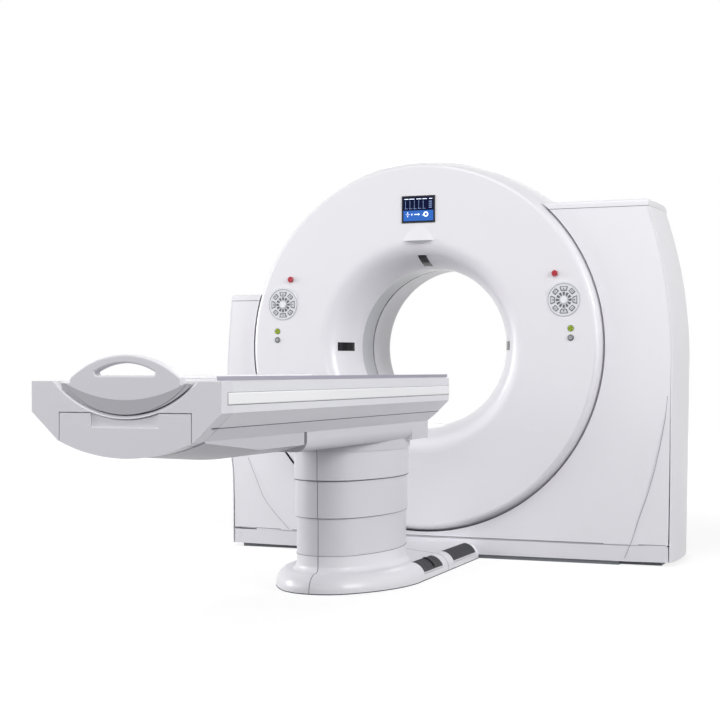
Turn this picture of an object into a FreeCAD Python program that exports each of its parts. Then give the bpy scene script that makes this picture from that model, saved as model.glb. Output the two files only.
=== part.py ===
import FreeCAD, Part
import math
import os

import Sketcher

# CT scanner: a tilting ring gantry between two fixed side housings, and a patient table.
# X to the viewer's right, Y from the table towards the gantry, Z up, in millimetres.
# The origin is on the floor under the isocentre, where the bore axis meets the tilt axis.

DIMENSIONS = [
    # gantry
    ("iso_height", 1057, "height of the bore axis above the floor"),
    ("ball_radius", 970, "radius of the ball-shaped side of the ring"),
    ("disc_front", 345, "front disc ahead of the isocentre"),
    ("disc_back", 500, "rear disc behind the isocentre"),
    ("disc_edge", 893, "radius of the flat part of the front disc"),
    ("throat_radius", 400, "radius of the bore"),
    ("mouth_radius", 540, "radius where the front throat meets the disc"),
    ("mouth_round", 90, "small rounding of the front throat"),
    ("throat_depth", 250, "depth of the front throat"),
    ("window_length", 153, "length of the scan window"),
    ("window_wall", 4, "wall of the scan window"),
    ("rear_gap", 22, "slot between the scan window and the rear throat"),
    ("rear_straight", 340, "where the rear throat starts to flare"),
    ("rear_flare", 150, "radius of the rear flare"),
    ("cover_wall", 8, "wall of the ring covers"),
    ("shell_front", 250, "front edge of the ball-shaped shells"),
    ("shell_back", 420, "rear edge of the ball-shaped shells"),
    ("seam", 0.8, "seam between neighbouring covers"),
    ("ring_gap", 12, "gap between the ring and the side housings"),
    ("trunnion_radius", 50, "radius of the tilt trunnions"),
    # side housings
    ("housing_front", 300, "front face of the side housings, ahead of the isocentre"),
    ("housing_back", 350, "rear face of the side housings"),
    ("housing_seam", 250, "centre joint of the front panels, left of the bore axis"),
    ("right_foot", 1240, "right housing, half width at the floor"),
    ("right_belly", 1257, "right housing, widest at the straight part"),
    ("right_straight", 1000, "height where the right housing starts to close in"),
    ("right_shoulder", 1142, "right housing, width at the cap"),
    ("right_cap", 1719, "height of the right cap's joint"),
    ("right_top", 1755, "top of the right housing"),
    ("left_foot", 1065, "left housing, half width at the floor"),
    ("left_belly", 1068, "left housing, width where the bulge starts"),
    ("left_straight", 400, "height where the left bulge starts"),
    ("left_shoulder", 1066, "left housing, width at the cap"),
    ("left_cap", 1302, "height of the left cap's joint"),
    ("left_top", 1334, "top of the left housing"),
    ("left_bulge", 4270, "radius of the left bulge"),
    ("right_bulge", 2305, "radius of the right shoulder"),
    ("housing_swell", 18, "how far the side covers swell behind the front"),
    ("housing_taper", 34, "how far the side covers draw in at the rear"),
    ("panel_wall", 6, "wall of the side covers"),
    ("panel_depth", 40, "depth of the front panels"),
    ("crease_depth", 26, "depth of the creased corner of the front panels"),
    ("plinth_low", 20, "lower edge of the plinth"),
    ("plinth_high", 94, "upper edge of the plinth"),
    ("panel_low", 100, "lower edge of the front panels"),
    ("plate_height", 30, "thickness of the floor frames"),
    ("stand_depth", 150, "half depth of the tilt stands"),
    ("stand_gap", 30, "room between the ring's ball and the tilt stands"),
    ("stand_width", 60, "width of the tilt stands"),
    ("stand_rise", 133, "top of the tilt stands above the bore axis"),
    # tilt frame and rotor
    ("frame_front", 100, "front face of the tilt frame plate"),
    ("frame_back", 150, "rear face of the tilt frame plate"),
    ("bearing_inner", 470, "radius of the rotor hub"),
    ("bearing_outer", 510, "seat radius of the main bearing"),
    ("running_gap", 0.8, "running gap of the large rings"),
    ("rotor_radius", 850, "outer radius of the rotor drum"),
    ("rotor_face", 60, "front face of the rotor plate"),
    ("rotor_plate", 25, "thickness of the rotor plate"),
    ("beam_plane", -18, "scan plane, from the isocentre"),
    # controls on the ring
    ("keypad_across", 744, "keypads, from the bore axis"),
    ("keypad_rise", 218, "keypads above the bore axis"),
    ("stop_across", 700, "stop buttons, from the bore axis"),
    ("stop_rise", 347, "stop buttons above the bore axis"),
    ("lamp_across", 777, "lamps, from the bore axis"),
    ("lamp_rise", 80, "lamps above the bore axis"),
    ("round_rise", 35, "round buttons above the bore axis"),
    ("screen_rise", 685, "screen's middle above the bore axis"),
    ("screen_width", 176, "width of the screen"),
    ("screen_tall", 136, "height of the screen"),
    ("hood_rise", 513, "lower lip of the hood above the bore axis"),
    ("hood_tall", 92, "height of the hood under the screen"),
    ("hood_half", 90, "half width of the hood"),
    ("hood_depth", 16, "how far the hood's lip stands forward"),
    ("stem_gap", 0.08, "radial clearance of the button stems"),
    # table
    ("table_near", 3215, "near end of the table, ahead of the isocentre"),
    ("table_far", 927, "far end of the table, ahead of the isocentre"),
    ("table_half", 352, "half width of the table"),
    ("table_top", 900, "height of the table's top edge"),
    ("rail_low", 799, "lower edge of the vertical side"),
    ("hull_low", 705, "flat underside of the hull"),
    ("hull_half", 252, "half width of the underside"),
    ("hull_seam", 748, "seam between side profile and hull"),
    ("hull_belly", 649, "lowest point of the near end"),
    ("channel_radius", 357, "radius of the channel for the tabletop"),
    ("channel_low", 788, "lowest point of the channel"),
    ("top_half", 222, "half width of the tabletop"),
    ("top_edge", 893, "upper edge of the tabletop"),
    ("top_lip", 7, "thickness of the tabletop's edge"),
    ("top_outer", 308, "outer radius of the tabletop"),
    ("top_inner", 483, "inner radius of the tabletop"),
    ("cap_length", 80, "length of the near end cap"),
    ("slide_gap", 0.4, "running gap of sliding pieces"),
    # column and base
    ("column_half", 219, "half width of the top sleeve"),
    ("column_front", 1634, "front of the top sleeve, ahead of the isocentre"),
    ("column_wide", 1225, "where the top sleeve is widest"),
    ("column_back", 932, "back of the top sleeve"),
    ("column_nose", 162, "radius of the rounded front"),
    ("column_sweep", 725.667, "radius of the column's sides behind the widest point"),
    ("column_corner", 55, "radius of the rear corners of the top sleeve"),
    ("sleeve_step", 6, "how much each sleeve is smaller than the one above"),
    ("sleeve_wall", 4, "wall of the sleeves"),
    ("sleeve_upper", 470, "lower edge of the upper sleeve"),
    ("sleeve_middle", 310, "lower edge of the middle sleeve"),
    ("sleeve_lower", 150, "lower edge of the lower sleeve"),
    ("neck_low", 590, "lower edge of the neck"),
    ("head_low", 628, "underside of the head cover"),
    ("head_near", 2310, "near end of the head cover, ahead of the isocentre"),
    ("head_square", 1140, "near end of the head cover's squared part"),
    ("head_half", 250, "half width of the head cover"),
    ("head_edge", 45, "radius of the head cover's lower edges"),
    ("head_wall", 6, "wall of the head cover and the belly pan"),
    ("base_half", 314, "half width of the base cover"),
    ("base_tip", 1719, "front tip of the base cover, ahead of the isocentre"),
    ("base_wide", 1220, "where the base cover is widest"),
    ("base_end", 300, "half width of the base cover at the gantry"),
    ("base_height", 80, "height of the base cover"),
    ("base_dome", 66, "radius of the base cover's rounded rim"),
    ("pedal_sink", 10.5, "depth of the pedals' recesses under the rim"),
    ("pedal_thick", 6, "thickness of the pedals under the rim's surface"),
    ("mast_half", 85, "half width of the outer mast tube"),
    ("mast_wall", 8, "wall of the mast tubes"),
    ("mast_centre", 1206, "mast axis, ahead of the isocentre"),
    ("mast_outer_top", 280, "top of the outer mast tube"),
    ("mast_middle_low", 240, "lower end of the middle mast tube at rest"),
    ("mast_middle_top", 500, "top of the middle mast tube at rest"),
    ("mast_inner_low", 455, "lower end of the inner mast tube at rest"),
    ("mast_inner_top", 765, "top of the inner mast tube at rest"),
]

doc = FreeCAD.newDocument("ct_scanner")
sheet = doc.addObject("Spreadsheet::Sheet", "Sizes")
NODES = {}


class Size:
    """A length that carries its number and the sheet formula behind it."""

    def __init__(self, value, formula=None):
        self.value = float(value)
        self.formula = formula if formula is not None else "(%r)" % float(value)
        self.bound = formula is not None

    def _join(self, other, sign, value, swap=False):
        first, second = (other, self) if swap else (self, other)
        joined = Size(value, "(%s %s %s)" % (first.formula, sign, second.formula))
        joined.bound = self.bound or other.bound
        return joined

    def __add__(self, other):
        other = size(other)
        return self._join(other, "+", self.value + other.value)

    __radd__ = __add__

    def __sub__(self, other):
        other = size(other)
        return self._join(other, "-", self.value - other.value)

    def __rsub__(self, other):
        other = size(other)
        return self._join(other, "-", other.value - self.value, swap=True)

    def __mul__(self, other):
        other = size(other)
        return self._join(other, "*", self.value * other.value)

    __rmul__ = __mul__

    def __truediv__(self, other):
        other = size(other)
        return self._join(other, "/", self.value / other.value)

    def __neg__(self):
        return size(0) - self


def size(number):
    """Return number as a Size."""
    return number if isinstance(number, Size) else Size(number)


def root(number):
    """Square root of a Size."""
    result = Size(math.sqrt(number.value), "sqrt(%s)" % number.formula)
    result.bound = number.bound
    return result


def chord(radius, offset):
    """Half width of a circle of this radius at this distance from its centre."""
    return root(radius * radius - offset * offset)


for row, (alias, number, meaning) in enumerate(DIMENSIONS, start=1):
    sheet.set("A%d" % row, alias)
    sheet.set("B%d" % row, str(number))
    sheet.set("C%d" % row, meaning)
    sheet.setAlias("B%d" % row, alias)
doc.recompute()
D = {alias: Size(number, "Sizes.%s" % alias) for alias, number, meaning in DIMENSIONS}
for control in ("keypad", "stop", "lamp", "round", "screen"):
    D[control + "_height"] = D["iso_height"] + D[control + "_rise"]


class Arc:
    """Corner of an outline that is reached by an arc; turn is 1 for anticlockwise."""

    def __init__(self, x, y, radius, turn):
        self.x = size(x)
        self.y = size(y)
        self.radius = size(radius)
        self.turn = turn


def corner(item):
    """Return an outline's corner as two Sizes."""
    if isinstance(item, Arc):
        return item.x, item.y
    return size(item[0]), size(item[1])


def mirrored(outline):
    """Outline reflected in the upright axis."""
    result = []
    for item in outline:
        x, y = corner(item)
        if isinstance(item, Arc):
            result.append(Arc(-x, y, item.radius, -item.turn))
        else:
            result.append((-x, y))
    return result


def tie(thing, prop, number):
    """Bind a property to its formula when the sheet drives it."""
    number = size(number)
    if number.bound:
        thing.setExpression(prop, number.formula)


def arc_centre(start, end, radius, turn):
    """Centre of the smaller arc from start to end, as plain numbers."""
    mid_x = (start[0] + end[0]) / 2
    mid_y = (start[1] + end[1]) / 2
    run_x = end[0] - start[0]
    run_y = end[1] - start[1]
    span = math.hypot(run_x, run_y)
    rise = math.sqrt(max(radius * radius - span * span / 4, 0.0))
    return mid_x - turn * rise * run_y / span, mid_y + turn * rise * run_x / span


def draw(sketch, outline):
    """Draw a closed outline of lines and arcs and tie each corner to the sheet."""
    corners = [corner(item) for item in outline]
    ends = []
    for index, item in enumerate(outline):
        start = [number.value for number in corners[index - 1]]
        end = [number.value for number in corners[index]]
        if isinstance(item, Arc):
            x, y = arc_centre(start, end, item.radius.value, item.turn)
            circle = Part.Circle(FreeCAD.Vector(x, y, 0), FreeCAD.Vector(0, 0, 1), item.radius.value)
            first = math.atan2(start[1] - y, start[0] - x)
            last = math.atan2(end[1] - y, end[0] - x)
            if item.turn < 0:
                first, last = last, first
            edge = sketch.addGeometry(Part.ArcOfCircle(circle, first, last), False)
            ends.append((edge, 1, 2) if item.turn > 0 else (edge, 2, 1))
        else:
            line = Part.LineSegment(FreeCAD.Vector(*start, 0), FreeCAD.Vector(*end, 0))
            ends.append((sketch.addGeometry(line, False), 1, 2))
    for index, item in enumerate(outline):
        edge, start, end = ends[index]
        following = ends[(index + 1) % len(ends)]
        sketch.addConstraint(Sketcher.Constraint("Coincident", edge, end, following[0], following[1]))
        for kind, number in zip(("DistanceX", "DistanceY"), corners[index]):
            rule = sketch.addConstraint(Sketcher.Constraint(kind, -1, 1, edge, end, number.value))
            tie(sketch, "Constraints[%d]" % rule, number)
        if isinstance(item, Arc):
            rule = sketch.addConstraint(Sketcher.Constraint("Radius", edge, item.radius.value))
            tie(sketch, "Constraints[%d]" % rule, item.radius)


def draw_circle(sketch, x, y, radius):
    """Draw a circle tied to the sheet."""
    x, y, radius = size(x), size(y), size(radius)
    circle = Part.Circle(FreeCAD.Vector(x.value, y.value, 0), FreeCAD.Vector(0, 0, 1), radius.value)
    edge = sketch.addGeometry(circle, False)
    for kind, number in (("DistanceX", x), ("DistanceY", y)):
        rule = sketch.addConstraint(Sketcher.Constraint(kind, -1, 1, edge, 3, number.value))
        tie(sketch, "Constraints[%d]" % rule, number)
    rule = sketch.addConstraint(Sketcher.Constraint("Radius", edge, radius.value))
    tie(sketch, "Constraints[%d]" % rule, radius)


# A sketch plane's normal and how a distance along the row axis maps onto it.
NORMALS = {"XY_Plane": 1, "XZ_Plane": -1, "YZ_Plane": 1}


class Piece:
    """A PartDesign body that grows by sketched features."""

    def __init__(self, label, place=(0, 0, 0)):
        self.label = label
        self.count = 0
        self.body = doc.addObject("PartDesign::Body", label)
        self.body.Label = label
        move(self.body, place)

    def _feature(self, kind):
        self.count += 1
        return self.body.newObject(kind, "%s_%d" % (self.label, self.count))

    def sketch(self, plane, level, *outlines):
        """Sketch closed outlines on an origin plane moved to this level."""
        sketch = self._feature("Sketcher::SketchObject")
        origin = [item for item in self.body.Origin.OriginFeatures if item.Role == plane][0]
        sketch.AttachmentSupport = [(origin, "")]
        sketch.MapMode = "FlatFace"
        level = size(level) if NORMALS[plane] > 0 else -size(level)
        sketch.AttachmentOffset = FreeCAD.Placement(FreeCAD.Vector(0, 0, level.value), FreeCAD.Rotation())
        tie(sketch, "AttachmentOffset.Base.z", level)
        for outline in outlines:
            if isinstance(outline, tuple):
                draw_circle(sketch, *outline)
            else:
                draw(sketch, outline)
        return sketch

    def pad(self, plane, low, high, *outlines):
        """Add material between two levels along the plane's axis."""
        sketch = self.sketch(plane, low if NORMALS[plane] > 0 else high, *outlines)
        feature = self._feature("PartDesign::Pad")
        feature.Profile = sketch
        self._length(feature, size(high) - size(low))
        return self

    def pocket(self, plane, low, high, *outlines):
        """Take material away between two levels along the plane's axis."""
        sketch = self.sketch(plane, high if NORMALS[plane] > 0 else low, *outlines)
        feature = self._feature("PartDesign::Pocket")
        feature.Profile = sketch
        self._length(feature, size(high) - size(low))
        return self

    def _length(self, feature, length):
        feature.Length = length.value
        tie(feature, "Length", length)

    def revolve(self, outline, kind="PartDesign::Revolution"):
        """Turn an outline of radius and Y about the body's Y axis."""
        sketch = self.sketch("XY_Plane", 0, outline)
        feature = self._feature(kind)
        feature.Profile = sketch
        feature.ReferenceAxis = (sketch, ["V_Axis"])
        feature.Angle = 360
        return self

    def loft(self, plane, sections, kind="PartDesign::AdditiveLoft", ruled=False):
        """Skin a solid over (level, outline) sections."""
        sketches = [self.sketch(plane, level, outline) for level, outline in sections]
        feature = self._feature(kind)
        feature.Profile = sketches[0]
        feature.Sections = sketches[1:]
        feature.Ruled = ruled
        return self

    def round(self, radius, wanted, kind="PartDesign::Fillet"):
        """Round or bevel the edges of the last feature that wanted() picks."""
        doc.recompute()
        base = self.body.Tip
        names = []
        for index, edge in enumerate(base.Shape.Edges, start=1):
            if wanted(edge):
                names.append("Edge%d" % index)
        if not names:
            raise ValueError("%s: no edge to round" % self.label)
        feature = self._feature(kind)
        feature.Base = (base, names)
        radius = size(radius)
        prop = "Radius" if kind.endswith("Fillet") else "Size"
        setattr(feature, prop, radius.value)
        tie(feature, prop, radius)
        return self

    def keep(self):
        """Name the body as a finished node."""
        NODES[self.label] = self.body
        return self.body


def move(thing, place, turn=None):
    """Place an object at three Sizes, turned by a fixed rotation."""
    place = [size(number) for number in place]
    base = FreeCAD.Vector(*[number.value for number in place])
    thing.Placement = FreeCAD.Placement(base, turn or FreeCAD.Rotation())
    for axis, number in zip("xyz", place):
        tie(thing, "Placement.Base.%s" % axis, number)


def primitive(kind, label, sizes, place, turn=None):
    """Add a Part primitive with bound sizes."""
    thing = doc.addObject(kind, label)
    thing.Label = label
    for prop, number in sizes.items():
        number = size(number)
        setattr(thing, prop, number.value)
        tie(thing, prop, number)
    move(thing, place, turn)
    return thing


def box(label, xs, ys, zs):
    """Box between two Sizes along each axis."""
    sizes = {"Length": size(xs[1]) - xs[0], "Width": size(ys[1]) - ys[0], "Height": size(zs[1]) - zs[0]}
    return primitive("Part::Box", label, sizes, (xs[0], ys[0], zs[0]))


TURNS = {
    "X": FreeCAD.Rotation(FreeCAD.Vector(0, 1, 0), 90),
    "Y": FreeCAD.Rotation(FreeCAD.Vector(1, 0, 0), -90),
    "Z": FreeCAD.Rotation(),
}


def rod(label, axis, start, radius, length):
    """Cylinder from start along a row axis."""
    return primitive("Part::Cylinder", label, {"Radius": radius, "Height": length}, start, TURNS[axis])


def ball(label, radius):
    """Ball round the isocentre."""
    return primitive("Part::Sphere", label, {"Radius": radius}, (0, 0, D["iso_height"]))


def combine(kind, label, parts):
    """Boolean of several objects into one."""
    thing = doc.addObject(kind, label)
    thing.Label = label
    thing.Shapes = parts
    return thing


def fuse(label, parts):
    """Union."""
    return combine("Part::MultiFuse", label, parts)


def cut(label, base, tools):
    """Base without its tools."""
    tool = tools[0] if len(tools) == 1 else fuse(label + "_tools", tools)
    thing = doc.addObject("Part::Cut", label)
    thing.Label = label
    thing.Base = base
    thing.Tool = tool
    return thing


def common(label, first, second):
    """Intersection of two objects."""
    thing = doc.addObject("Part::Common", label)
    thing.Label = label
    thing.Base = first
    thing.Tool = second
    return thing


def node(label, thing):
    """Name an object as a finished node."""
    thing.Label = label
    NODES[label] = thing
    return thing


def ring_outline(inner, outer, front, back):
    """Rectangle section of a ring."""
    return [(inner, front), (outer, front), (outer, back), (inner, back)]


def two_arc_radius(along, across, small):
    """Larger radius of a quarter oval made of two tangent arcs."""
    return (along * along + across * across - 2 * along * small) / (2 * (across - small))


ISO = (0, 0, D["iso_height"])


# ---------------------------------------------------------------- ring covers


def throat(offset, turn):
    """Corners of the front throat as two tangent arcs, offset away from the bore."""
    small = D["mouth_round"]
    along = D["throat_depth"]
    across = D["mouth_radius"] - D["throat_radius"]
    large = two_arc_radius(along, across, small)
    back = along - D["disc_front"]
    large_r = D["throat_radius"] + large
    small_y = small - D["disc_front"]
    share = (large - offset) / (large - small)
    meet_r = large_r + (D["mouth_radius"] - large_r) * share
    meet_y = back + (small_y - back) * share
    bore_end = (D["throat_radius"] + offset, back)
    disc_end = (D["mouth_radius"], offset - D["disc_front"])
    if turn > 0:
        return [bore_end, Arc(meet_r, meet_y, large - offset, 1), Arc(*disc_end, small - offset, 1)]
    return [disc_end, Arc(meet_r, meet_y, small - offset, -1), Arc(*bore_end, large - offset, -1)]


def make_front_cover():
    """Disc, throat and rounded edge in one moulding, with its openings and the hood."""
    wall = D["cover_wall"]
    front = -D["disc_front"]
    outer = D["ball_radius"]
    inner = outer - wall
    rim_y = front + 9
    bend_y = front + wall + 4
    edge_y = -D["shell_front"]
    outline = throat(size(0), 1) + [
        (D["disc_edge"], front),
        Arc(chord(outer, rim_y), rim_y, 22, 1),
        Arc(chord(outer, edge_y), edge_y, outer, 1),
        (chord(inner, edge_y), edge_y),
        Arc(chord(inner, bend_y), bend_y, inner, -1),
        (D["disc_edge"] - 4, front + wall),
    ] + throat(wall, -1)
    shell = Piece("cover_shell", ISO)
    shell.revolve(outline)
    hood = make_hood()
    whole = fuse("cover_with_hood", [shell.body, hood])
    tools = [screen_hole()]
    for side in (-1, 1):
        tools += [
            button_hole(side, D["stop_across"], D["stop_height"], STOP_STEM),
            button_hole(side, D["lamp_across"], D["round_height"], ROUND_STEM),
            button_hole(side, D["keypad_across"], D["keypad_height"], CENTRE_STEM),
            lamp_hole(side),
        ]
    tools += [window_box("slot_%s" % name, name, size(0.3)) for name in WINDOW_PLACES]
    node("front_cover", cut("front_cover", whole, tools))


STOP_STEM = 9
ROUND_STEM = 8
CENTRE_STEM = 9
LAMP_RADIUS = 13
WINDOW_WIDTH = 44
HOOD_BOW = 20
WINDOW_PLACES = ("left", "right", "top")


def screen_hole():
    """Opening for the screen with a small gap all round."""
    half_w = D["screen_width"] / 2 + 0.3
    half_t = D["screen_tall"] / 2 + 0.3
    ys = (-D["disc_front"] - 20, -D["disc_front"] + 30)
    zs = (D["screen_height"] - half_t, D["screen_height"] + half_t)
    return box("screen_hole", (-half_w, half_w), ys, zs)


def button_hole(side, across, height, stem):
    """Hole for a button's stem."""
    start = (side * across, -D["disc_front"] - 20, height)
    label = "hole_%d_%d_%d" % (side + 1, across.value, height.value)
    return rod(label, "Y", start, stem + D["stem_gap"], 60)


def lamp_hole(side):
    """Hole for a lamp."""
    start = (side * D["lamp_across"], -D["disc_front"] - 20, D["lamp_height"])
    return rod("lamp_hole_%d" % (side + 1), "Y", start, LAMP_RADIUS + 0.3, 60)


def window_box(label, name, gap):
    """Box that marks one positioning-light window on the throat."""
    half = size(WINDOW_WIDTH) / 2 + gap
    ys = (-D["disc_front"] + 50 - gap, -D["disc_front"] + 162 + gap)
    low = D["throat_radius"] - 20
    high = D["throat_radius"] + 110
    height = D["iso_height"]
    if name == "top":
        return box(label, (-half, half), ys, (height + low, height + high))
    sign = -1 if name == "left" else 1
    xs = (-high, -low) if sign < 0 else (low, high)
    return box(label, xs, ys, (height - half, height + half))


def make_hood():
    """Scooped hood under the screen: a leaning round shell with a bowed lower lip."""
    face = -D["disc_front"]
    low = D["iso_height"] + D["hood_rise"]
    half, depth, tall = D["hood_half"], D["hood_depth"], D["hood_tall"]
    bend = (half * half + depth * depth) / (2 * depth)
    lean = math.atan2(depth.value, tall.value)
    below = 60
    start = (0, face - depth + bend * math.cos(lean) - below * math.sin(lean),
             low - bend * math.sin(lean) - below * math.cos(lean))
    turn = FreeCAD.Rotation(FreeCAD.Vector(-1, 0, 0), math.degrees(lean))
    scoop = primitive("Part::Cylinder", "hood_scoop", {"Radius": bend, "Height": 4 * tall}, start, turn)
    lip = Piece("hood_lip")
    reach = half + 10
    lip_bend = (HOOD_BOW * HOOD_BOW + half * half) / (2 * HOOD_BOW)
    end = low + lip_bend - chord(lip_bend, reach)
    lip.pad("XZ_Plane", face - 30, face + 4,
            [(-reach, end), Arc(reach, end, lip_bend, 1), (reach, low + tall), (-reach, low + tall)])
    return common("hood", scoop, lip.body)


def band_outline(front, back):
    """Section of a ball-shaped band between two levels."""
    outer = D["ball_radius"]
    inner = outer - D["cover_wall"]
    return [
        Arc(chord(inner, front), front, inner, -1),
        (chord(outer, front), front),
        Arc(chord(outer, back), back, outer, 1),
        (chord(inner, back), back),
    ]


def make_shells():
    """Upper and lower ball-shaped bands, with half holes for the trunnions."""
    reach = D["ball_radius"] + 50
    for name, low, high in (("upper_shell", D["seam"] / 2, reach), ("lower_shell", -reach, -D["seam"] / 2)):
        band = Piece(name + "_band", ISO)
        band.revolve(band_outline(D["seam"] - D["shell_front"], D["shell_back"] - D["seam"]))
        half = box(name + "_half", (-reach, reach), (-reach, reach),
                   (D["iso_height"] + low, D["iso_height"] + high))
        whole = common(name + "_whole", band.body, half)
        hole = rod(name + "_hole", "X", (-reach, 0, D["iso_height"]), D["trunnion_radius"] + 12, 2 * reach)
        node(name, cut(name, whole, [hole]))


def make_rear_cover():
    """Rear disc with the flared rear throat and a rounded edge."""
    wall = D["cover_wall"]
    back = D["disc_back"]
    outer = D["ball_radius"]
    inner = outer - wall
    bore = D["throat_radius"]
    start = D["rear_gap"] + D["window_length"] + D["throat_depth"] - D["disc_front"]
    flare_r = bore + REAR_DRAFT
    flare = D["rear_flare"]
    rim_y = back - 12
    bend_y = back - wall - 5
    front = D["shell_back"]
    cover = Piece("rear_cover", ISO)
    cover.revolve([
        (bore + 2, start),
        (bore + 2 + wall, start),
        (flare_r + wall, D["rear_straight"]),
        Arc(flare_r + flare, D["rear_straight"] + flare - wall, flare - wall, -1),
        (chord(inner, bend_y) - 12, back - wall),
        (chord(inner, bend_y), bend_y),
        Arc(chord(inner, front), front, inner, -1),
        (chord(outer, front), front),
        Arc(chord(outer, rim_y), rim_y, outer, 1),
        Arc(chord(outer, rim_y) - 22, back, 24, 1),
        (flare_r + flare, D["rear_straight"] + flare),
        Arc(flare_r, D["rear_straight"], flare, 1),
    ])
    cover.keep()


REAR_DRAFT = 18


def make_scan_window():
    """Thin grey ring that the beam passes through."""
    front = D["throat_depth"] - D["disc_front"]
    window = Piece("scan_window", ISO)
    window.revolve(ring_outline(D["throat_radius"], D["throat_radius"] + D["window_wall"],
                                front, front + D["window_length"]))
    window.keep()


def make_laser_windows():
    """Three dark windows let into the throat, proud of it by a millimetre."""
    band = Piece("window_band", ISO)
    band.revolve(throat(size(-1), 1) + throat(D["cover_wall"], -1))
    pieces = []
    for name in WINDOW_PLACES:
        pieces.append(common("window_" + name, band.body, window_box("window_box_" + name, name, size(0))))
    node("laser_windows", fuse("laser_windows", pieces))


# ---------------------------------------------------------------- side housings


def recess(label):
    """Ball that clears the ring all round."""
    return ball(label, D["ball_radius"] + D["ring_gap"])


def housing_side(side, inset, swell):
    """Outer edge of a housing from the floor to its cap, as corners for the right-hand side."""
    if side > 0:
        return [
            (D["right_foot"] + swell - inset, D["plinth_low"]),
            (D["right_belly"] + swell - inset, D["right_straight"]),
            Arc(D["right_shoulder"] + swell - inset, D["right_cap"], D["right_bulge"], 1),
        ]
    return [
        (D["left_foot"] + swell - inset, D["plinth_low"]),
        (D["left_belly"] + swell - inset, D["left_straight"]),
        Arc(D["left_shoulder"] + swell - inset, D["left_cap"], D["left_bulge"], 1),
    ]


def housing_section(side, inset, swell, rise):
    """Closed section of a housing, reaching in to the centre joint."""
    inner = -D["housing_seam"] if side > 0 else D["housing_seam"]
    edge = housing_side(side, inset, swell)
    top = edge[-1]
    low = (edge[0][0], edge[0][1] - rise)
    corners = [(inner, D["plinth_low"] - rise), low, edge[1], top]
    corners += [(top.x, top.y + rise), (inner, top.y + rise)] if rise else [(inner, top.y)]
    return corners if side > 0 else mirrored(corners)


def side_name(side):
    """Word for a side."""
    return "right" if side > 0 else "left"


def make_side_cover(side):
    """Outer panel of a housing with its rear return in one moulding."""
    name = side_name(side)
    wall = D["panel_wall"]
    front = -D["housing_front"]
    back = D["housing_back"]
    middle = (back - D["housing_front"]) / 2
    cover = Piece(name + "_side_shell")
    cover.loft("XZ_Plane", [
        (front, housing_section(side, size(0), size(0), 0)),
        (middle, housing_section(side, size(0), D["housing_swell"], 0)),
        (back, housing_section(side, size(0), -D["housing_taper"], 0)),
    ])
    cover.loft("XZ_Plane", [
        (front - 1, housing_section(side, wall, size(0), size(12))),
        (middle, housing_section(side, wall, D["housing_swell"], size(12))),
        (back - wall, housing_section(side, wall, -D["housing_taper"], size(12))),
    ], kind="PartDesign::SubtractiveLoft")
    seam_x = -D["housing_seam"]
    reach = D["ball_radius"]
    if side > 0:
        inner = box(name + "_side_inner", (seam_x - 600, seam_x), (front - 5, back + 5), (0, 2 * reach))
    else:
        inner = box(name + "_side_inner", (seam_x - D["seam"], seam_x + 600), (front - 5, back + 5),
                    (0, 2 * reach))
    node(name + "_side_cover", cut(name + "_side_cover", cover.body,
                                   [recess(name + "_side_recess"), inner, crease_wedge(side, "side")]))


def panel_outline(side, inset, low):
    """Face of a front panel; its inner corners lie inside the ring's recess."""
    clear = D["panel_wall"] + D["seam"] + inset
    edge = housing_side(side, clear, size(0))
    top = edge[-1]
    seam_x = -D["housing_seam"] if side > 0 else D["housing_seam"] + D["seam"]
    corners = [
        (seam_x + inset, low),
        (edge[0][0], low),
        edge[1],
        Arc(top.x, top.y - inset, top.radius, 1),
        (size(400) if side > 0 else size(560), top.y - inset),
        (seam_x + inset, size(500)),
    ]
    return corners if side > 0 else mirrored(corners)


CREASES = {
    1: [(1262, 860), (1150, 385), (1018, 10)],
    -1: [(1085, 660), (905, 315), (700, 10)],
}


CREASE_RUN = 300


def crease_wedge(side, use, offset=0):
    """Wedge that turns the lower outer corner of a front panel back behind a bowed crease."""
    name = "%s_%s" % (side_name(side), use)
    front = -D["housing_front"]
    high, middle, low = CREASES[side]
    run_x, run_y = high[0] - low[0], high[1] - low[1]
    span = math.hypot(run_x, run_y)
    bow = abs(run_x * (middle[1] - low[1]) - run_y * (middle[0] - low[0])) / span
    bend = (bow * bow + span * span / 4) / (2 * bow)
    sections = []
    beyond = 2 * D["ball_radius"]
    for level, shift in ((front - 1, 0), (front + D["crease_depth"], CREASE_RUN)):
        outline = [(low[0] + shift, low[1]), (beyond, low[1]), (beyond, high[1] + shift),
                   (high[0] + shift, high[1] + shift), Arc(low[0] + shift, low[1], bend, 1)]
        outline = [outline[-1]] + outline[1:-1]
        sections.append((level, outline if side > 0 else mirrored(outline)))
    wedge = Piece(name + "_crease", (0, offset, 0))
    wedge.loft("XZ_Plane", sections, ruled=True)
    return wedge.body


def make_front_panel(side):
    """Front panel of a housing: a shell with a deep rim, cut round the ring."""
    name = side_name(side)
    front = -D["housing_front"]
    back = front + D["panel_depth"]
    panel = Piece(name + "_panel")
    panel.pad("XZ_Plane", front, back, panel_outline(side, size(0), D["panel_low"]))
    hollow = Piece(name + "_panel_hollow")
    wall = D["panel_wall"]
    hollow.pad("XZ_Plane", front + wall + 2, back + 5,
               panel_outline(side, wall * 2, D["panel_low"] + wall * 2))
    rim = ball(name + "_panel_rim", D["ball_radius"] + D["ring_gap"] + wall * 2)
    inside = cut(name + "_panel_inside", hollow.body, [rim, crease_wedge(side, "inner", wall + 2)])
    node(name + "_front_cover", cut(name + "_front_cover", panel.body,
                                    [inside, recess(name + "_panel_recess"), crease_wedge(side, "panel")]))


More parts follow.
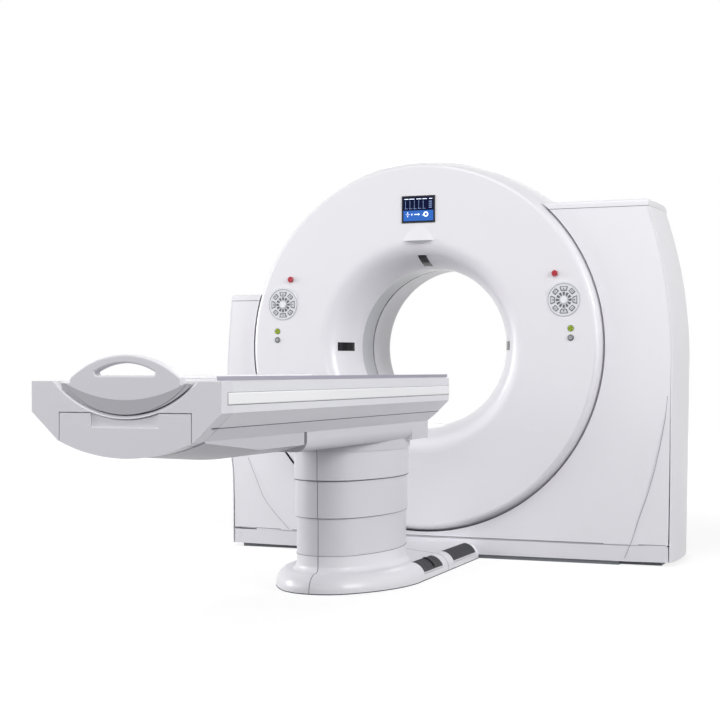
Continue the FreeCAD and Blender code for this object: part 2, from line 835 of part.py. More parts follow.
def make_top_cap(side):
    """Cap of a housing: a tray with rounded upper edges, cut round the ring."""
    name = side_name(side)
    low = D[name + "_cap"] + D["seam"]
    high = D[name + "_top"]
    wall = D["panel_wall"]
    front = -D["housing_front"]
    back = D["housing_back"]
    middle = (back - D["housing_front"]) / 2
    shoulder = D[name + "_shoulder"]
    inner = 380 if side > 0 else 520
    swell = shoulder + D["housing_swell"]
    bow = D["housing_swell"] + D["housing_taper"] / 2
    half = (D["housing_front"] + D["housing_back"]) / 2
    bend = (bow * bow + half * half) / (2 * bow)

    def plan(inset):
        outline = [(inner, front + inset), (shoulder - inset, front + inset),
                   Arc(swell - inset, middle, bend, 1),
                   Arc(shoulder - D["housing_taper"] - inset, back - inset, bend, 1), (inner, back - inset)]
        return outline if side > 0 else mirrored(outline)

    cap = Piece(name + "_cap_block")
    cap.pad("XY_Plane", low, high, plan(size(0)))

    def upper_outer(edge):
        bounds = edge.BoundBox
        flat = abs(bounds.ZMin - high.value) < 1e-6 and abs(bounds.ZMax - high.value) < 1e-6
        return flat and max(abs(bounds.XMin), abs(bounds.XMax)) > inner + 50

    cap.round(CAP_ROUND, upper_outer)
    cap.pocket("XY_Plane", low - 1, high - wall * 2, plan(wall * 3))
    node(name + "_top_cap", cut(name + "_top_cap", cap.body, [recess(name + "_cap_recess")]))


CAP_ROUND = 16


PLINTH_CORNER = {1: 1000, -1: 690}


def make_plinth():
    """Skirt along the front foot with thick corners, and a tongue that carries the front panels."""
    front = -D["housing_front"]
    back_off = D["panel_wall"] + D["seam"]
    ends = {-1: D["left_foot"] - back_off, 1: D["right_foot"] - back_off}
    low, high = D["plinth_low"], D["plinth_high"]
    tongue = front + 9
    parts = [
        box("plinth_skirt", (-ends[-1], ends[1]), (front + 1, tongue), (low, high)),
        box("plinth_tongue", (-ends[-1], ends[1]), (tongue, tongue + 8), (low, D["panel_low"])),
    ]
    for side, end in ends.items():
        xs = (PLINTH_CORNER[side], end) if side > 0 else (-end, -PLINTH_CORNER[side])
        parts.append(box(side_name(side) + "_plinth_corner", xs, (tongue, front + 52), (low, high)))
    creases = [crease_wedge(side, "plinth") for side in (1, -1)]
    node("plinth", cut("plinth", fuse("plinth_block", parts), creases + [recess("plinth_recess")]))


def make_base_frame():
    """Floor plate of the gantry, its front corners drawn back behind the plinth's."""
    front = 17 - D["housing_front"]
    corner_y = front + 38
    back = D["housing_back"] - D["panel_wall"] - 6
    left = -(D["left_foot"] - 45)
    right = D["right_foot"] - 45
    inner_left, inner_right = -(PLINTH_CORNER[-1] - 2), PLINTH_CORNER[1] - 2
    frame = Piece("base_frame")
    frame.pad("XY_Plane", 0, D["plate_height"], [
        (inner_left, front), (inner_right, front), (inner_right, corner_y), (right, corner_y),
        (right, back), (left, back), (left, corner_y), (inner_left, corner_y)])
    frame.keep()


def stand_inner():
    """Inner face of the tilt stands, clear of the ring's ball."""
    return D["ball_radius"] + D["stand_gap"]


def make_stand(side):
    """Welded post with the seat of the tilt bearing."""
    name = side_name(side) + "_stand"
    near = stand_inner()
    far = near + D["stand_width"]
    depth = D["stand_depth"]
    low = D["plate_height"]
    top = D["iso_height"] + D["stand_rise"]
    outline = [(-depth, low), (depth, low), (depth * 0.7, top), (-depth * 0.7, top)]
    wall = 14
    inside = [(40 - depth, low + 40), (depth - 40, low + 40), (depth * 0.7 - 20, D["iso_height"] - 150),
              (20 - depth * 0.7, D["iso_height"] - 150)]
    start, end = (near, far) if side > 0 else (-far, -near)
    post = Piece(name)
    post.pad("YZ_Plane", start, end, outline)
    post.pocket("YZ_Plane", start + wall, end - wall, inside)
    post.pocket("YZ_Plane", start - 1, end + 1, (0, D["iso_height"], D["trunnion_radius"] + 40))
    post.keep()


def make_bearings():
    """The two tilt bearings in their seats."""
    rings = []
    length = D["stand_width"] - 10
    for side in (-1, 1):
        start = stand_inner() + 5 if side > 0 else -(stand_inner() + 5 + length)
        where = (start, 0, D["iso_height"])
        outer = rod("bearing_outer_%d" % (side + 1), "X", where, D["trunnion_radius"] + 39.7, length)
        inner = rod("bearing_bore_%d" % (side + 1), "X", where, D["trunnion_radius"] + D["slide_gap"], length)
        rings.append(cut("bearing_%d" % (side + 1), outer, [inner]))
    node("tilt_bearings", fuse("tilt_bearings", rings))


def make_tilt_drive():
    """Geared motor on the outside of the right stand."""
    start = stand_inner() + D["stand_width"]
    height = D["iso_height"]
    housing = rod("drive_housing", "X", (start, 0, height), 105, 80)
    drop = 330
    motor = rod("drive_motor", "Z", (start + 46, 60, height - drop), 42, drop - 30)
    node("tilt_drive", fuse("tilt_drive", [housing, motor]))


# ---------------------------------------------------------------- tilt frame and rotor


def make_tilt_frame():
    """Ring plate behind the rotor with two cheeks and the tilt trunnions."""
    front, back = D["frame_front"], D["frame_back"]
    inner_ball = D["ball_radius"] - D["cover_wall"]
    outer = chord(inner_ball, back) - 0.5
    plate = Piece("tilt_plate", ISO)
    plate.revolve(ring_outline(D["bearing_outer"], outer, front, back))
    parts = [plate.body]
    cheek = 110
    near, far = D["ball_radius"] - 70, D["ball_radius"] - 40
    for side in (-1, 1):
        xs = (near, far) if side > 0 else (-far, -near)
        parts.append(box("cheek_%d" % (side + 1), xs, (-60, front + 10),
                         (D["iso_height"] - cheek, D["iso_height"] + cheek)))
        length = stand_inner() + D["stand_width"] - near
        start = near if side > 0 else -(near + length)
        parts.append(rod("trunnion_%d" % (side + 1), "X", (start, 0, D["iso_height"]),
                         D["trunnion_radius"], length - 2))
    node("tilt_frame", fuse("tilt_frame", parts))


def make_rings():
    """Main bearing, drive stator, rotor drum and slip ring, all turned about the bore axis."""
    gap = D["running_gap"]
    face = D["rotor_face"]
    plate_back = face + D["rotor_plate"]
    hub = D["bearing_inner"]
    front, back = D["frame_front"], D["frame_back"]
    bearing = Piece("main_bearing", ISO)
    bearing.revolve(ring_outline(hub + gap, D["bearing_outer"] - 0.3, front, back))
    bearing.keep()
    stator = Piece("drive_stator", ISO)
    stator.revolve(ring_outline(D["rotor_radius"] + gap, D["rotor_radius"] + 38, face - 10, front))
    stator.keep()
    slip_front = back + 6
    slip_back = slip_front + 24
    drum = Piece("rotor_drum", ISO)
    drum.revolve([
        (hub - 25, face), (D["rotor_radius"], face), (D["rotor_radius"], plate_back), (hub, plate_back),
        (hub, slip_back), (hub - 25, slip_back),
    ])
    drum.keep()
    slip = Piece("slip_ring", ISO)
    slip.revolve([
        (hub + 0.3, slip_front), (hub + 34, slip_front), (hub + 34, slip_front + 5),
        (hub + 28, slip_front + 5), (hub + 28, slip_front + 10), (hub + 34, slip_front + 10),
        (hub + 34, slip_back), (hub + 0.3, slip_back),
    ])
    slip.keep()


def make_rotor_units():
    """Tube, collimator, detector and generator on the front of the rotor plate."""
    face = D["rotor_face"]
    height = D["iso_height"]
    beam = D["beam_plane"]
    tube_r = 88
    tube_z = height + 650
    barrel = rod("tube_barrel", "Y", (0, beam - 130, tube_z), tube_r, face - beam + 130)
    snout = rod("tube_snout", "Y", (0, beam - 160, tube_z), tube_r - 28, 40)
    node("xray_tube", fuse("xray_tube", [barrel, snout]))
    collimator = Piece("collimator")
    collimator.pad("XZ_Plane", beam - 55, face, [
        (-70, height + 470), (70, height + 470), (95, height + 560), Arc(-95, height + 560, 145, -1)])
    collimator.keep()
    detector = Piece("detector")
    spread = 0.56
    outer, inner = 660, 560
    cos, sin = math.cos(spread), math.sin(spread)
    detector.pad("XZ_Plane", beam - 50, face, [
        (-outer * sin, height - outer * cos), Arc(outer * sin, height - outer * cos, outer, 1),
        (inner * sin, height - inner * cos), Arc(-inner * sin, height - inner * cos, inner, -1)])
    detector.keep()
    boxes = []
    for side in (-1, 1):
        xs = (500, 760) if side > 0 else (-760, -500)
        boxes.append(box("unit_%d" % (side + 1), xs, (beam - 90, face), (height - 160, height + 160)))
    node("generator", fuse("generator", boxes))


# ---------------------------------------------------------------- controls on the ring


def make_screen():
    """Display: a bezel let into the disc with the glass in its front."""
    face = -D["disc_front"]
    half_w = D["screen_width"] / 2
    half_t = D["screen_tall"] / 2
    middle = D["screen_height"]
    border = 7
    bezel = Piece("screen_bezel")
    bezel.pad("XZ_Plane", face - 4, face + 22, [
        (-half_w, middle - half_t), (half_w, middle - half_t), (half_w, middle + half_t),
        (-half_w, middle + half_t)])
    opening = [(border - half_w, middle - half_t + border), (half_w - border, middle - half_t + border),
               (half_w - border, middle + half_t - border), (border - half_w, middle + half_t - border)]
    bezel.pocket("XZ_Plane", face - 5, face, opening)
    bezel.keep()
    glass = Piece("screen_glass")
    glass.pad("XZ_Plane", face - 3, face, opening)
    glass.keep()


def make_button(name, side, across, height, stem, head, travel, proud):
    """Sprung button: a head in front of the disc on a stem through it."""
    face = -D["disc_front"]
    x = side * size(across)
    button = Piece(name, (x, 0, height))
    bevel = 2
    button.revolve([
        (0, face - travel - proud), (head - bevel, face - travel - proud),
        (head, face - travel - proud + bevel), (head, face - travel), (stem, face - travel),
        (stem, face + 24), (0, face + 24)])
    button.keep()


def ring_of(count, radius):
    """Angles and centres of keys spread round a keypad."""
    for index in range(count):
        angle = 2 * math.pi * index / count
        yield index, math.cos(angle) * radius, math.sin(angle) * radius


def make_keypad(side):
    """Control panel: a disc with a thicker brow and one moulded mat of raised keys."""
    name = side_name(side) + "_keypad"
    face = -D["disc_front"]
    x = side * D["keypad_across"]
    z = D["keypad_height"]
    disc = rod(name + "_disc", "Y", (x, face - 3, z), 80, 3)
    brow = rod(name + "_brow", "Y", (x, face - 3, z + 8), 84, 3)
    parts = [disc, brow]
    for index, across, up in ring_of(8, 54):
        key = name + "_key_%d" % index
        half = 14 if index % 2 else 17
        low = 14 if index % 2 else 12
        thing = primitive("Part::Box", key, {"Length": 2 * half, "Width": 3, "Height": 2 * low},
                          (x, face - 6, z))
        angle = math.degrees(math.atan2(up, across)) - 90
        turn = FreeCAD.Rotation(FreeCAD.Vector(0, -1, 0), angle)
        offset = turn.multVec(FreeCAD.Vector(-half, 0, -low))
        move(thing, (x + (across + offset.x), face - 6 + offset.y, z + (up + offset.z)), turn)
        parts.append(thing)
    whole = fuse(name + "_solid", parts)
    hole = rod(name + "_hole", "Y", (x, face - 20, z), 21, 40)
    node(name, cut(name, whole, [hole]))


def make_lamps():
    """Two round lamps let into the disc."""
    face = -D["disc_front"]
    lamps = []
    for side in (-1, 1):
        where = (side * D["lamp_across"], face - 3, D["lamp_height"])
        lamps.append(rod("lamp_%d" % (side + 1), "Y", where, LAMP_RADIUS, 24))
    node("status_lamps", fuse("status_lamps", lamps))


def make_controls():
    """Screen, buttons, keypads and lamps."""
    make_screen()
    make_lamps()
    for side in (-1, 1):
        name = side_name(side)
        make_keypad(side)
        make_button(name + "_stop_button", side, D["stop_across"], D["stop_height"], STOP_STEM, 15, 4, 9)
        make_button(name + "_round_button", side, D["lamp_across"], D["round_height"], ROUND_STEM, 13, 3, 4)
        make_button(name + "_centre_button", side, D["keypad_across"], D["keypad_height"], CENTRE_STEM,
                    18, 3, 6)


# ---------------------------------------------------------------- table base and column


def column_outline(inset):
    """Plan of the column, drawn in by inset: an oval of tangent arcs with a flat back."""
    nose, corner_r = D["column_nose"], D["column_corner"]
    along = D["column_front"] - D["column_wide"]
    large = two_arc_radius(along, D["column_half"], nose)
    share = nose / (large - nose)
    out = (nose - inset) / nose
    nose_y = nose - D["column_front"]
    meet_x = (large - D["column_half"]) * share * out
    meet_y = nose_y - (along - nose) * share * out
    side_x = D["column_half"] - inset
    wide_y = -D["column_wide"]
    sweep = D["column_sweep"]
    centre_x = D["column_half"] - sweep
    drop = D["column_wide"] - D["column_back"] - corner_r
    reach = chord(sweep - corner_r, drop)
    far = (sweep - inset) / (sweep - corner_r)
    rear_x = centre_x + reach * far
    rear_y = wide_y + drop * far
    back_x = centre_x + reach
    back_y = -(D["column_back"] + inset)
    return [
        Arc(-meet_x, meet_y, large - inset, 1), Arc(meet_x, meet_y, nose - inset, 1),
        Arc(side_x, wide_y, large - inset, 1), Arc(rear_x, rear_y, sweep - inset, 1),
        Arc(back_x, back_y, corner_r - inset, 1), (-back_x, back_y),
        Arc(-rear_x, rear_y, corner_r - inset, 1), Arc(-side_x, wide_y, sweep - inset, 1),
    ]


def make_sleeve(name, inset, low, high, flange):
    """One sleeve of the column, with a guide flange at its top where it has one."""
    sleeve = Piece(name)
    sleeve.pad("XY_Plane", low, high, column_outline(inset))
    if flange is not None:
        sleeve.pad("XY_Plane", high - 8, high, column_outline(flange))
    sleeve.pocket("XY_Plane", low - 1, high + 1, column_outline(inset + D["sleeve_wall"]))
    sleeve.keep()


def make_column():
    """Three telescoping sleeves, the outermost at the top."""
    step = D["sleeve_step"]
    wall = D["sleeve_wall"]
    gap = D["slide_gap"]
    make_sleeve("column_upper", size(0), D["sleeve_upper"], 650, None)
    make_sleeve("column_middle", step, D["sleeve_middle"], D["sleeve_upper"] + 30, wall + gap)
    make_sleeve("column_lower", step * 2, D["sleeve_lower"], D["sleeve_middle"] + 30, step + wall + gap)


def mast_square(half):
    """Square section round the mast axis."""
    y = -D["mast_centre"]
    return [(-half, y - half), (half, y - half), (half, y + half), (-half, y + half)]


def make_mast():
    """Middle and inner tubes of the lifting mast."""
    step = D["mast_wall"] + D["slide_gap"]
    wall = D["mast_wall"]
    half = D["mast_half"] - step
    middle = Piece("mast_middle")
    middle.pad("XY_Plane", D["mast_middle_low"], D["mast_middle_top"], mast_square(half))
    middle.pocket("XY_Plane", D["mast_middle_low"] - 1, D["mast_middle_top"] + 1, mast_square(half - wall))
    middle.keep()
    half = half - step
    inner = Piece("mast_inner")
    inner.pad("XY_Plane", D["mast_inner_low"], D["mast_inner_top"], mast_square(half))
    inner.pocket("XY_Plane", D["mast_inner_low"] - 1, D["mast_inner_top"] - 12, mast_square(half - wall))
    inner.keep()


TONGUE_HALF = 200


def make_table_base():
    """Floor plate of the table with the outer mast tube, joined to the gantry frame."""
    high = D["plate_height"]
    half = D["mast_half"]
    back = -D["housing_front"]
    base = Piece("table_base")
    base.pad("XY_Plane", 0, high, [
        (-125, -1635), (125, -1635), (262, -1400), (262, back - 20), (-262, back - 20), (-262, -1400)])
    base.pad("XY_Plane", 0, D["plinth_low"] - 2, [
        (-TONGUE_HALF, back - 30), (TONGUE_HALF, back - 30), (TONGUE_HALF, back + 17),
        (-TONGUE_HALF, back + 17)])
    base.pad("XY_Plane", high - 5, D["mast_outer_top"], mast_square(half))
    base.pocket("XY_Plane", high, D["mast_outer_top"] + 1, mast_square(half - D["mast_wall"]))
    base.keep()


def base_plan(inset):
    """Plan of the base cover: a half oval in front, narrowing towards the gantry."""
    small = size(205)
    along = D["base_tip"] - D["base_wide"]
    large = two_arc_radius(along, D["base_half"], small)
    share = small / (large - small)
    meet_x = (large - D["base_half"]) * share
    meet_y = small - D["base_tip"] - (along - small) * share
    out = (small - inset) / small
    centre_y = small - D["base_tip"]
    meet_x = meet_x * out
    meet_y = centre_y + (meet_y - centre_y) * out
    wide_y = -D["base_wide"]
    back_y = -D["housing_front"] - inset
    return [
        Arc(-meet_x, meet_y, large - inset, 1), Arc(meet_x, meet_y, small - inset, 1),
        Arc(D["base_half"] - inset, wide_y, large - inset, 1), (D["base_end"] - inset, back_y),
        (inset - D["base_end"], back_y), (inset - D["base_half"], wide_y),
    ]


ROOT_RADIUS = 24
PEDAL_SPANS = {"near": (1143, 878), "far": (705, 348)}
PEDAL_ARC = (3, 68)
PEDAL_ROOM = 1.5
PEDAL_PIN = 4
PIN_REACH = 8
BAR_SHIFT = 13


def dome_point(side, span, degrees, out):
    """Point over the rounded rim: angle from the top, and distance out of its surface."""
    start, end = PEDAL_SPANS[span]
    dome = D["base_dome"]
    share = (D["base_wide"] - (start + end) / 2) / (D["base_wide"] - D["housing_front"])
    half = D["base_half"] + (D["base_end"] - D["base_half"]) * share
    angle = math.radians(degrees)
    x = half - dome + (dome + out) * math.sin(angle)
    z = D["base_height"] - dome + (dome + out) * math.cos(angle)
    return side * x, z


def dome_band(side, span, degrees, low, high):
    """Outline of a band on the rounded rim between two angles and two distances out."""
    first, last = degrees
    radius = D["base_dome"]
    return [
        dome_point(side, span, first, high), Arc(*dome_point(side, span, last, high), radius + high, -side),
        dome_point(side, span, last, low), Arc(*dome_point(side, span, first, low), radius + low, side)]


def make_base_cover():
    """Shell over the table base, with a domed rim, pedal recesses and a collar under the column."""
    high = D["base_height"]
    wall = D["panel_wall"]
    dome = D["base_dome"]
    rear = -D["housing_front"]
    thick = D["pedal_sink"] + wall

    def top_rim(edge):
        bounds = edge.BoundBox
        return bounds.ZMin > 20 and bounds.ZMax - bounds.ZMin < 1e-6 and bounds.YMin < rear.value - 60

    block = Piece("base_block")
    block.pad("XY_Plane", 0, high, base_plan(size(0)))
    block.round(dome, top_rim)
    seat = D["sleeve_lower"]
    ledge = D["sleeve_step"] * 2 - 1
    collar = D["sleeve_step"] * 2 + D["sleeve_wall"] + 0.3
    block.pad("XY_Plane", high - 8, seat, column_outline(ledge))
    root = []
    for turn in (12, 36, 62, 90):
        spread = 1 - math.sin(math.radians(turn))
        rise = ROOT_RADIUS * (1 - math.cos(math.radians(turn)))
        root.append((high + rise - 0.5, column_outline(ledge - ROOT_RADIUS * spread)))
    block.loft("XY_Plane", root)
    block.pad("XY_Plane", seat - 5, seat + 40, column_outline(collar))
    for side in (1, -1):
        for span, (start, end) in PEDAL_SPANS.items():
            block.pocket("XZ_Plane", -start - PEDAL_ROOM, PEDAL_ROOM - end,
                         dome_band(side, span, (PEDAL_ARC[0] - 3, PEDAL_ARC[1] + 9), -D["pedal_sink"], 25))
            x, z = dome_point(side, span, PEDAL_ARC[0], -PEDAL_PIN - 1)
            reach = PIN_REACH + PEDAL_ROOM
            block.pocket("XZ_Plane", -start - reach, reach - end, (x, z, PEDAL_PIN + 0.05))
    hollow = Piece("base_hollow")
    hollow.pad("XY_Plane", -1, high - thick, base_plan(thick))
    hollow.round(dome - thick, top_rim)
    hollow.pad("XY_Plane", high - thick - 5, high - wall, base_plan(dome + wall * 3))
    throat_way = Piece("base_throat")
    throat_way.pad("XY_Plane", 20, seat + 60, column_outline(collar + wall))
    slot = box("base_slot", (-TONGUE_HALF - 2, TONGUE_HALF + 2), (rear - thick - 1, rear + 1),
               (-1, D["plinth_low"]))
    node("table_base_cover", cut("table_base_cover", block.body, [hollow.body, throat_way.body, slot]))


def make_pedal(side, span):
    """Ribbed pedal that follows the rounded rim, on a pin along its inner edge."""
    start, end = PEDAL_SPANS[span]
    thick = D["pedal_thick"]
    pedal = Piece("%s_%s_pedal" % (side_name(side), span))
    pedal.pad("XZ_Plane", -start, -end, dome_band(side, span, PEDAL_ARC, -thick, 0))
    x, z = dome_point(side, span, PEDAL_ARC[0], -PEDAL_PIN - 1)
    pedal.pad("XZ_Plane", -start - PIN_REACH, PIN_REACH - end, (x, z, PEDAL_PIN))
    ribs = 9 if span == "near" else 12
    pitch = (start - end - 10) / ribs
    for index in range(ribs):
        rib_y = -start + 5 + pitch * index
        pedal.pad("XZ_Plane", rib_y, rib_y + pitch / 2, dome_band(side, span, (8, 64), -1, 1.5))
    if span == "near":
        bar_y = BAR_SHIFT - (start + end) / 2
        pedal.pad("XZ_Plane", bar_y - 7, bar_y + 7, dome_band(side, span, (9, 60), -1, 9))
    pedal.keep()


# ---------------------------------------------------------------- table body


def channel_section(radius, top):
    """Arc of the channel, from its right edge at this height to its left edge."""
    centre = D["channel_low"] + D["channel_radius"]
    half = chord(radius, centre - top)
    return [(half, top), Arc(-half, top, radius, -1)]


def make_table_body():
    """Closed tub under the tabletop, with its glide ribs and the seat of the mast."""
    top = D["table_top"]
    low = D["hull_low"]
    near = D["cap_length"] - D["table_near"]
    far = -D["table_far"]
    seam_x = D["table_half"] - (D["rail_low"] - D["hull_seam"])
    roof = size(23)
    wall = size(8)
    body = Piece("table_body")
    body.pad("XZ_Plane", near, far, [
        (-seam_x, D["hull_seam"]), (-D["hull_half"], low), (D["hull_half"], low), (seam_x, D["hull_seam"]),
        (seam_x, top)] + channel_section(D["channel_radius"], top) + [(-seam_x, top)])
    body.pocket("XZ_Plane", near + wall, far - wall, [
        (-seam_x + 12, D["hull_seam"]), (-D["hull_half"] + 4, low + wall), (D["hull_half"] - 4, low + wall),
        (seam_x - 12, D["hull_seam"]), (seam_x - 12, top - 14)]
        + channel_section(D["channel_radius"] + roof, top - 14) + [(-seam_x + 12, top - 14)])
    column = 12
    body.pocket("XY_Plane", low - 1, low + wall + 1, [
        (-D["column_half"] - column, -D["column_front"] - column),
        (D["column_half"] + column, -D["column_front"] - column),
        (D["column_half"] + column, far - wall), (-D["column_half"] - column, far - wall)])
    body.pocket("XY_Plane", low - 1, low + 60, column_outline(-D["slide_gap"]))
    trough = D["top_edge"] - D["top_lip"] + chord(D["top_outer"], D["top_half"])
    glide = D["top_outer"] + 0.3
    centre = D["channel_low"] + D["channel_radius"]
    for side in (1, -1):
        inner, outer = size(60), size(90)
        rib = [
            (inner, centre - chord(D["channel_radius"] + 3, inner)),
            (outer, centre - chord(D["channel_radius"] + 3, outer)),
            (outer, trough - chord(glide, outer)),
            Arc(inner, trough - chord(glide, inner), glide, -1),
        ]
        body.pad("XZ_Plane", near, far, rib if side > 0 else mirrored(rib))
    seat = D["mast_half"] - 5
    y = -D["mast_centre"]
    body.pad("XY_Plane", D["mast_inner_top"], D["mast_inner_top"] + 9,
             [(-seat, y - seat), (seat, y - seat), (seat, y + seat), (-seat, y + seat)])
    body.keep()


def make_side_rail(side):
    """Hollow side profile with a chine along its lower edge."""
    name = side_name(side) + "_side_rail"
    near = D["cap_length"] - D["table_near"]
    far = -D["table_far"]
    half = D["table_half"]
    seam_x = half - (D["rail_low"] - D["hull_seam"])
    top = D["table_top"]
    outer = [(seam_x, D["hull_seam"] + D["seam"]), (half, D["rail_low"]), (half, top), (seam_x, top)]
    inner = [(seam_x + 5, D["hull_seam"] + 14), (half - 5, D["rail_low"] + 3), (half - 5, top - 8),
             (seam_x + 5, top - 8)]
    rail = Piece(name)
    rail.pad("XZ_Plane", near, far, outer if side > 0 else mirrored(outer))
    rail.pocket("XZ_Plane", near + 10, far - 10, inner if side > 0 else mirrored(inner))
    rail.keep()


def make_strips():
    """Light inlays on the sides and accessory rails on the top edges."""
    half = D["table_half"]
    near = D["cap_length"] - D["table_near"]
    far = -D["table_far"]
    top = D["table_top"]
    inlays = []
    rails = []
    for side in (1, -1):
        name = side_name(side)
        inlay = Piece(name + "_inlay")
        outline = [(half, 826), (half + 2, 829), (half + 2, 861), (half, 864)]
        inlay.pad("XZ_Plane", near - 34, far, outline if side > 0 else mirrored(outline))
        inlays.append(inlay.body)
        rail = Piece(name + "_accessory_rail")
        outline = [(334, top), (341, top), (341, top + 3), (346, top + 3), (346, top + 12), (329, top + 12),
                   (329, top + 3), (334, top + 3)]
        rail.pad("XZ_Plane", near, far - 8, outline if side > 0 else mirrored(outline))
        rails.append(rail.body)
    node("rail_strips", fuse("rail_strips", inlays))
    node("edge_strips", fuse("edge_strips", rails))


def end_outline(inset):
    """Face of the near end: sides, chines and a bowed lower edge, open to the channel."""
    half = D["table_half"]
    hull = D["hull_half"]
    low = D["hull_low"]
    drop = low - D["hull_belly"]
    bend = (drop * drop + hull * hull) / (drop * 2)
    top = D["table_top"]
    outline = [Arc(hull, low, bend, 1), (half, D["rail_low"]), (half, top)]
    outline += channel_section(D["channel_radius"] + inset, top)
    return outline + [(-half, top), (-half, D["rail_low"]), (-hull, low)]


def make_end_cap():
    """Near end of the table with a bevelled channel, and the hatch let into it."""
    near = -D["table_near"]
    back = near + D["cap_length"]
    rebate = near + 20
    cap = Piece("end_block")
    cap.pad("XZ_Plane", near, back, end_outline(size(0)))

    def channel_rim(edge):
        bounds = edge.BoundBox
        flat = abs(bounds.YMin - near.value) < 1e-6 and abs(bounds.YMax - near.value) < 1e-6
        raised = bounds.ZMin > D["channel_low"].value - 1
        return flat and raised and bounds.XLength > 200 and bounds.ZLength > 50

    cap.round(9, channel_rim, "PartDesign::Chamfer")
    hatch_half, hatch_top = 244, 796
    groove = 3
    low = D["hull_belly"] - 10
    slot = Piece("hatch_slot")
    limit = D["channel_radius"] + 14
    centre = D["channel_low"] + D["channel_radius"]

    def hatch_face(margin):
        edge = centre - hatch_top - margin
        side_x = chord(limit - margin, edge)
        reach = hatch_half + margin
        return [(-reach, low), (reach, low), (reach, hatch_top + margin), (side_x, hatch_top + margin),
                Arc(-side_x, hatch_top + margin, limit - margin, -1), (-reach, hatch_top + margin)]

    slot.pad("XZ_Plane", near - 5, rebate, hatch_face(groove))
    hollow = box("end_hollow", (-220, 220), (rebate + 8, back + 1), (690, 765))
    node("end_cap", cut("end_cap", cap.body, [slot.body, hollow]))
    blank = Piece("hatch_blank")
    blank.pad("XZ_Plane", near, rebate, end_outline(size(0)))
    face = Piece("hatch_face")
    face.pad("XZ_Plane", near - 5, rebate, hatch_face(0))
    panel = common("hatch_panel", blank.body, face.body)
    grip = box("hatch_grip", (-125, 125), (near - 5, near + 9), (748, 800))
    node("end_hatch", cut("end_hatch", panel, [grip]))


def pan_section(half, side_low, bottom, inset):
    """Section of the belly pan with a bowed bottom, drawn in by inset."""
    drop = side_low - bottom
    side_x = half - inset
    edge = side_low + inset
    bend = (drop * drop + side_x * side_x) / (drop * 2)
    top = D["hull_low"] + inset / 4
    return [(-side_x, top), (-side_x, edge), Arc(side_x, edge, bend, 1), (side_x, top)]


PAN_RAMP_END = 2720
PAN_EDGE = (5, 30)
PAN_LAP = 25


def make_belly_pan():
    """Pan under the near part of the hull, deepening towards the column."""
    near = D["cap_length"] - D["table_near"] + 0.3
    ramp = size(-PAN_RAMP_END)
    far = -D["head_near"] - PAN_LAP
    wall = D["head_wall"]
    shallow, deep = PAN_EDGE

    def sections(inset):
        first = pan_section(D["hull_half"], D["hull_low"] - shallow, D["hull_belly"], inset)
        full = pan_section(D["head_half"], D["head_low"] + deep, D["head_low"] - 10, inset)
        return [(near + inset, first), (ramp, full), (far - inset, full)]

    pan = Piece("belly_pan")
    pan.loft("XZ_Plane", sections(size(0)), ruled=True)
    pan.loft("XZ_Plane", sections(wall), kind="PartDesign::SubtractiveLoft", ruled=True)
    pan.keep()


def make_head_cover():
    """Housing above the column, with the neck round the top sleeve."""
    start, square, end = -D["head_near"], -D["head_square"], -D["table_far"]
    half = D["head_half"]
    wall = D["head_wall"]
    low, top = D["head_low"], D["hull_low"]
    edge = D["head_edge"]

    def section(inset, high):
        side_x = half - inset
        corner = edge - inset
        return [(-side_x, high), (-side_x, low + edge), Arc(edge - half, low + inset, corner, 1),
                (half - edge, low + inset), Arc(side_x, low + edge, corner, 1), (side_x, high)]

    cover = Piece("head_block")
    cover.pad("XZ_Plane", start, end, section(size(0), top))
    cover.pad("XZ_Plane", square, end, [(-half, low - 2), (half, low - 2), (half, top), (-half, top)])
    cover.pad("XY_Plane", D["neck_low"], low + 12, column_outline(-wall))
    hollow = Piece("head_hollow")
    hollow.pad("XZ_Plane", start + wall, end - wall, section(wall, top + 5))
    passage = Piece("head_passage")
    passage.pad("XY_Plane", D["neck_low"] - 5, top + 5, column_outline(-D["slide_gap"]))
    node("head_cover", cut("head_cover", cover.body, [hollow.body, passage.body]))


# ---------------------------------------------------------------- tabletop


def make_tabletop():
    """Crescent-shaped top that slides on the glide ribs."""
    half = D["top_half"]
    edge = D["top_edge"]
    under = edge - D["top_lip"]
    top = Piece("tabletop")
    top.pad("XZ_Plane", -D["table_near"], -D["table_far"], [
        (-half, under), Arc(half, under, D["top_outer"], 1),
        (half, edge), Arc(-half, edge, D["top_inner"], -1)])
    top.keep()


def make_grip():
    """Upright plate with a hand hole at the near end of the tabletop."""
    near = -D["table_near"]
    half = size(204)
    shoulder = size(913)
    rise = 987 - shoulder
    bend = (rise * rise + half * half) / (rise * 2)
    trough = D["top_edge"] + chord(D["top_inner"], D["top_half"])
    foot = trough - chord(D["top_inner"], half)
    plate = Piece("grip_handle")
    plate.pad("XZ_Plane", near, near + 40, [
        (-half, foot), Arc(half, foot, D["top_inner"], 1), (half, shoulder), Arc(-half, shoulder, bend, 1)])
    hole_half, hole_low, hole_side, hole_top = 111, 919, 930, 959
    drop = hole_top - hole_side
    plate.pocket("XZ_Plane", near - 1, near + 41, [
        (-hole_half + 6, hole_low), (hole_half - 6, hole_low), Arc(hole_half, hole_low + 6, 6, 1),
        (hole_half, hole_side), Arc(-hole_half, hole_side, (drop * drop + hole_half ** 2) / (2 * drop), 1),
        (-hole_half, hole_low + 6), ])

    def face_edge(edge):
        bounds = edge.BoundBox
        flat = bounds.YLength < 1e-6
        return flat and bounds.ZMin > hole_low - 15 and bounds.ZMax > hole_low

    plate.round(7, face_edge)
    plate.keep()


